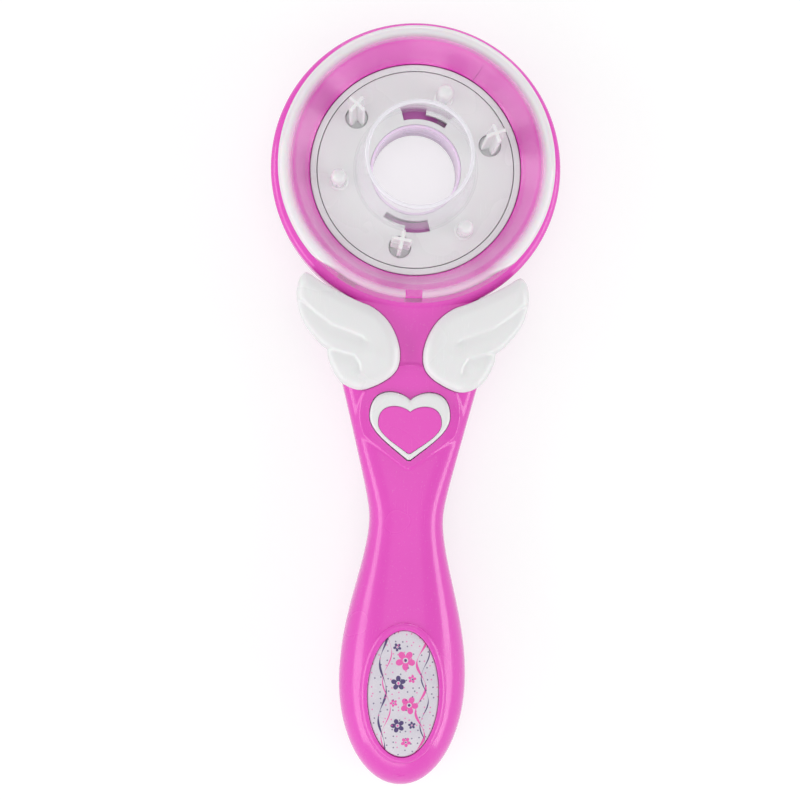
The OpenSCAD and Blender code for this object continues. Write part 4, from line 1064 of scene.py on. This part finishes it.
def rotor_plate():
    plate = turned("rotor plate", rounded([
        (14.35, 8.3, 0.1), (16.0, 8.3, 0.1), (16.0, 13.0, 0.2), (28.45, 13.0, 0), (28.45, 11, 0.1),
        (30.95, 11.0, 0.1), (30.98, PLATE_Z, 0.25), (14.35, PLATE_Z, 0.2)], 4), 200)
    lip, over = PLATE_Z - 0.25, PLATE_Z + 1
    tools = []
    for turn in (57, 237):
        tools.append(turned("narrow slot", [(16.1, 12), (17.8, 12), (17.8, lip), (18.0, PLATE_Z),
                                            (18.0, over), (15.9, over), (15.9, PLATE_Z),
                                            (16.1, lip)], steps=24, first=turn, sweep=48))
        tools.append(turned("wide slot", [(17.0, 12), (19.8, 12), (19.8, lip), (20.0, PLATE_Z),
                                          (20.0, over), (17.0, over)],
                            steps=12, first=turn + 24, sweep=24))
    for turn in POST_ANGLES:
        well = turned("post well", [(0, 9.6), (4.4, 9.6), (4.4, 13.0), (3.45, 13.0), (3.45, lip),
                                    (3.7, PLATE_Z), (3.7, over), (0, over)], 48)
        tools.append(moved(well, POST_RING, turn))
    cut(plate, *tools)
    pins = []
    for turn in POST_ANGLES:
        pin = turned("guide pin", rounded([(0, 14.0, 0), (3.1, 14.0, 0), (3.1, 15.0, 0),
                                           (2.5, 15.6, 0.6)], 4)
                     + arc(0, 23.3, 2.5, 2.5, 0, 90, 10), 48)
        pins.append(moved(pin, 24.4, turn + 50))
    fuse(plate, *pins)
    return finished(plate, "rotor_face", "rotor", "white_plastic", "rotor_plate")


def spindle_post(number):
    a = math.radians(POST_ANGLES[number - 1])
    arm, reach, root, top = 0.6, 3.1, 12.6, 37.0
    corners = []
    for q in range(4):
        t = math.radians(90 * q)
        c, s = math.cos(t), math.sin(t)
        for x, y, r in ((reach, -arm, 0.4), (reach, arm, 0.4), (arm, arm, 0.25)):
            corners.append((x * c - y * s, x * s + y * c, r))
    post = prism("spindle post", rounded(corners, 3), root, top - 1.8)
    edit(post)
    bpy.ops.mesh.select_all(action="DESELECT")
    leave()
    for face in post.data.polygons:
        face.select = face.normal.z > 0.9
    bpy.ops.object.mode_set(mode="EDIT")
    for rise, shrink in ((1.0, 0.93), (0.55, 0.86), (0.25, 0.8)):
        bpy.ops.mesh.extrude_region_move(TRANSFORM_OT_translate={"value": (0, 0, rise)})
        bpy.ops.transform.resize(value=(shrink, shrink, 1), center_override=(0, 0, 0))
    leave()
    fuse(post, turned("thrust flange", rounded([(0, 9.7, 0), (4.1, 9.7, 0.2), (4.1, 12.8, 0.3),
                                                (0, 12.8, 0)], 3), 64),
         peg("hub", 0, 0, 12.5, 13.8, 3.3, 48), peg("spindle shaft", 0, 0, 3.8, 10.0, 2.0, 40))
    turn_c, turn_s = math.cos(a), math.sin(a)
    for vertex in post.data.vertices:
        x, y, z = vertex.co
        vertex.co = (POST_RING * turn_c + x * turn_c - y * turn_s,
                     POST_RING * turn_s + x * turn_s + y * turn_c, z)
    node = "spindle_post_%d" % number
    return finished(post, "post_%d" % number, "spindle_%d" % number, "white_plastic", node,
                    smooth=40)


def clear_tube():
    foot, top, rim = 15.1, 45.0, 0.6
    outer, inner = 16.25, 15.05
    profile = rounded([(18.3, foot, 0.1), (19.7, foot, 0.1), (19.7, foot + 0.5, 0.2),
                       (19.3, foot + 1.3, 0.6)], 4)
    profile += arc(outer - rim, top - rim, rim, rim, 0, 180, 12)
    profile += [(inner, top - 3 * rim), (18.1, foot + 2.2), (18.3, foot + 1.2)]
    tube = turned("clear tube", profile, 160)
    hooks = [turned("hook", [(16.5, 11.4), (19.4, 11.4), (19.4, 12.7), (17.4, 12.7), (17.4, 15.1),
                             (18.8, 15.1), (18.8, 15.9), (16.5, 15.9)],
                    steps=8, first=turn, sweep=9) for turn in (58, 238)]
    fuse(tube, *hooks)
    return finished(tube, "centre_tube", "tube", "clear_plastic", "clear_tube", smooth=40)


# ---- wings, heart and label ----
FEATHERS = (([(34.5, -43.0), (30.5, -46.4), (25.2, -50.2), (19.5, -52.2), (15.8, -53.6),
              (12.8, -56.2)], 0.75, 3.4),
            ([(27.5, -57.2), (22.5, -58.4), (17.9, -59.6), (16.3, -62.1), (15.7, -66.1)],
             0.7, 2.6))


def feather_drop(x, y):
    """How far the wing's top lies below its crown, along the lines between its feathers."""
    drop = 0.0
    for line, depth, reach in FEATHERS:
        best = None
        for k in range(len(line) - 1):
            (ax, ay), (bx, by) = line[k], line[k + 1]
            dx, dy = bx - ax, by - ay
            length = math.hypot(dx, dy)
            t = min(max(((x - ax) * dx + (y - ay) * dy) / length ** 2, 0.0), 1.0)
            px, py = x - ax - dx * t, y - ay - dy * t
            distance = math.hypot(px, py)
            side = (dx * py - dy * px) / length
            if best is None or distance < best[0]:
                best = (distance, side, (k + t) / (len(line) - 1))
        distance, side, along = best
        fade = ease((1 - along) * 5) if distance < 6 else 0.0
        width = reach if side > 0 else 0.55
        drop += depth * fade * math.exp(-(distance / width) ** 2)
    return drop


def wing(side):
    def relief(x, y, depth):
        crown = -1.1 * (1 - min(1.0, depth / 8.5)) ** 2
        bump = 0.45 * math.exp(-((x - 12.4) ** 2 + (y + 58.6) ** 2) / 7.0)
        return crown - feather_drop(x, y) + bump
    piece = pillow("wing", wing_outline(), 17.5, 24.6, 0.34, 3.4, 2.9, 0.8, relief)
    choose(piece)
    apply_step(piece, "polish", "SMOOTH", factor=0.5, iterations=2)
    cut(piece, handle("neck", -0.03, 1, 2.0, count=72, close=(57, 75, 0.55), raised=True),
        peg("head", 0, 0, 0, 30, HEAD_R + 0.25, 180))
    if side < 0:
        choose(piece)
        piece.scale = (-1, 1, 1)
        bpy.ops.object.transform_apply(location=True, rotation=True, scale=True)
        face_outwards(piece)
    name = "right" if side > 0 else "left"
    return finished(piece, "wing_trim_" + name, "casing", "white_plastic", "wing_" + name,
                    smooth=50)


PRESS = 1.0              # travel of the heart button
INLAY_W, INLAY_L, INLAY_TOP = HEART_W * 0.788, HEART_L * 0.697, HEART_Y - HEART_L * 0.206


def heart_button():
    heart = pillow("heart", grown_heart(0.0), NECK_Z - 3.4, NECK_Z + 2.0, 0.24, 1.5, 1.15, 0.2)
    cut(heart, prism("inlay seat", heart_outline(INLAY_W + 0.2, INLAY_L + 0.24, INLAY_TOP + 0.1),
                     NECK_Z + 1.2, NECK_Z + 4))
    flange_low, flange_high, stem_y = 16.9, 17.6, -80.94
    fuse(heart, prism("heart flange", grown_heart(0.9), flange_low, flange_high))
    spring_low, spring_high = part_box("button_spring")
    spring_r = (spring_high.x - spring_low.x) / 2 / MM
    cut(heart, peg("spring pocket", 0, stem_y, 16.0, flange_low + PRESS + 0.4, spring_r + 0.3, 48))
    fuse(heart, peg("stem", 0, stem_y, 14.8, flange_low + PRESS + 0.8, 2.0, 40))
    return finished(heart, "heart_key", "button", "white_plastic", "heart_button", smooth=35)


def heart_inlay():
    inlay = pillow("inlay", heart_outline(INLAY_W, INLAY_L, INLAY_TOP), NECK_Z + 1.2,
                   NECK_Z + 2.1, 0.2, 0.5, 0.35, 0.1)
    return finished(inlay, "heart_face", "button", "pink_inlay", "heart_inlay", smooth=35)


def label_plate():
    a, b, y = LABEL
    rows = [1.0 - 0.012 * (1 - math.cos(math.pi / 2 * k / 3)) for k in range(4)]
    rows += [1 - (k + 1) / 16 for k in range(16)]
    rings = []
    for depth, rows_here in ((0.6, (0.5, 1.0)), (None, rows)):
        for k, f in enumerate(rows_here):
            drop = depth if depth is not None else 0.12 * (1 - math.sin(
                math.pi / 2 * min(k, 3) / 3))
            ring = []
            for i in range(160):
                t = 2 * math.pi * i / 160
                px, py = a * f * math.cos(t), y + b * f * math.sin(t)
                ring.append((px, py, front_z(px, py) - drop))
            rings.append(ring)
    plate = lofted("label", rings)
    face_outwards(plate)
    return finished(plate, "oval_label", "casing", "label", "label_plate")


front_casing()
back_casing()
battery_door()
clear_cover()
bezel_ring()
hair_sleeve()
gear_collar()
rotor_plate()
for post_number in (1, 2, 3):
    spindle_post(post_number)
clear_tube()
wing(1)
wing(-1)
heart_button()
heart_inlay()
label_plate()

for part in frame["record"]["subparts"]:
    node = frame["nodes"][part["node"]]
    node.data.materials.clear()
    node.data.materials.append(SLOT_FINISHES[part["material_slot"]])

# ---- floor, light and camera ----
def seen_directly(w):
    """1 for the camera, mirrors and glass, and 0 for the light that falls on things."""
    path = w.put("ShaderNodeLightPath").outputs
    plain = w.math("ADD", path["Is Camera Ray"], path["Is Glossy Ray"])
    return w.math("MINIMUM", w.math("ADD", plain, path["Is Transmission Ray"]), 1.0)


def white_out(w, lit, output, share):
    """Adds white to a lit surface where it is seen directly."""
    glow = w.put("ShaderNodeEmission", {"Color": (1, 1, 1, 1),
                                        "Strength": w.math("MULTIPLY", seen_directly(w), share)})
    both = w.put("ShaderNodeAddShader")
    w.tree.links.new(lit, both.inputs[0])
    w.tree.links.new(glow.outputs[0], both.inputs[1])
    w.tree.links.new(both.outputs[0], output)


def studio_floor():
    bpy.ops.object.select_all(action="DESELECT")
    bpy.ops.mesh.primitive_plane_add(size=6, location=(0, -0.075, -0.0001))
    floor = bpy.context.object
    floor.name = "studio_floor"
    bpy.ops.object.transform_apply(location=True, rotation=True, scale=True)
    material, w, shader, place = new_material("studio floor paper")
    w.feed(shader.inputs["Base Color"], w.blend(w.noise(place, 400.0, 2.0), (0.4, 0.4, 0.4, 1),
                                                (0.42, 0.42, 0.42, 1)))
    shader.inputs["Roughness"].default_value = 0.9
    shader.inputs["Specular IOR Level"].default_value = 0.0
    output = material.node_tree.nodes["Material Output"].inputs["Surface"]
    white_out(w, shader.outputs[0], output, 0.64)
    floor.data.materials.append(material)


def studio_light():
    world = bpy.data.worlds.new("studio")
    bpy.context.scene.world = world
    world.use_nodes = True
    w = Wiring(world.node_tree)
    background = world.node_tree.nodes["Background"]
    background.inputs["Color"].default_value = (1, 1, 1, 1)
    w.feed(background.inputs["Strength"], w.spread(seen_directly(w), 0.0, 1.0, 0.53, 1.0))
    for name, place, aim, size, power in (
            ("left box", (-0.62, -0.24, 0.27), (0, -0.2, 0.01), (0.9, 0.26), 2.15),
            ("right box", (0.62, -0.3, 0.25), (0, -0.26, 0.01), (0.8, 0.24), 2.1),
            ("head strip", (0.12, 0.62, 0.11), (0.12, 0, 0.01), (0.9, 0.14), 1.3),
            ("tail box", (-0.25, -0.75, 0.4), (-0.05, 0.0, 0.01), (0.7, 0.24), 1.2),
            ("top panel", (0.0, 0.05, 0.95), (0, -0.08, 0.01), (0.8, 0.8), 1.0)):
        bpy.ops.object.light_add(type="AREA", location=place)
        lamp = bpy.context.object
        lamp.name = name.replace(" ", "_")
        lamp.data.shape = "RECTANGLE"
        lamp.data.size, lamp.data.size_y = size
        lamp.data.energy = power
        lamp.rotation_euler = (Vector(aim) - Vector(place)).to_track_quat("-Z", "Y").to_euler()


def camera():
    bpy.ops.object.camera_add(location=(-0.0181, -0.0731, 0.465),
                              rotation=(0, math.radians(-1.92), math.radians(1.5)))
    eye = bpy.context.object
    eye.name = "camera"
    eye.data.angle = math.radians(31.3)
    bpy.context.scene.camera = eye


studio_floor()
studio_light()
camera()
bpy.context.scene.view_settings.view_transform = "Standard"
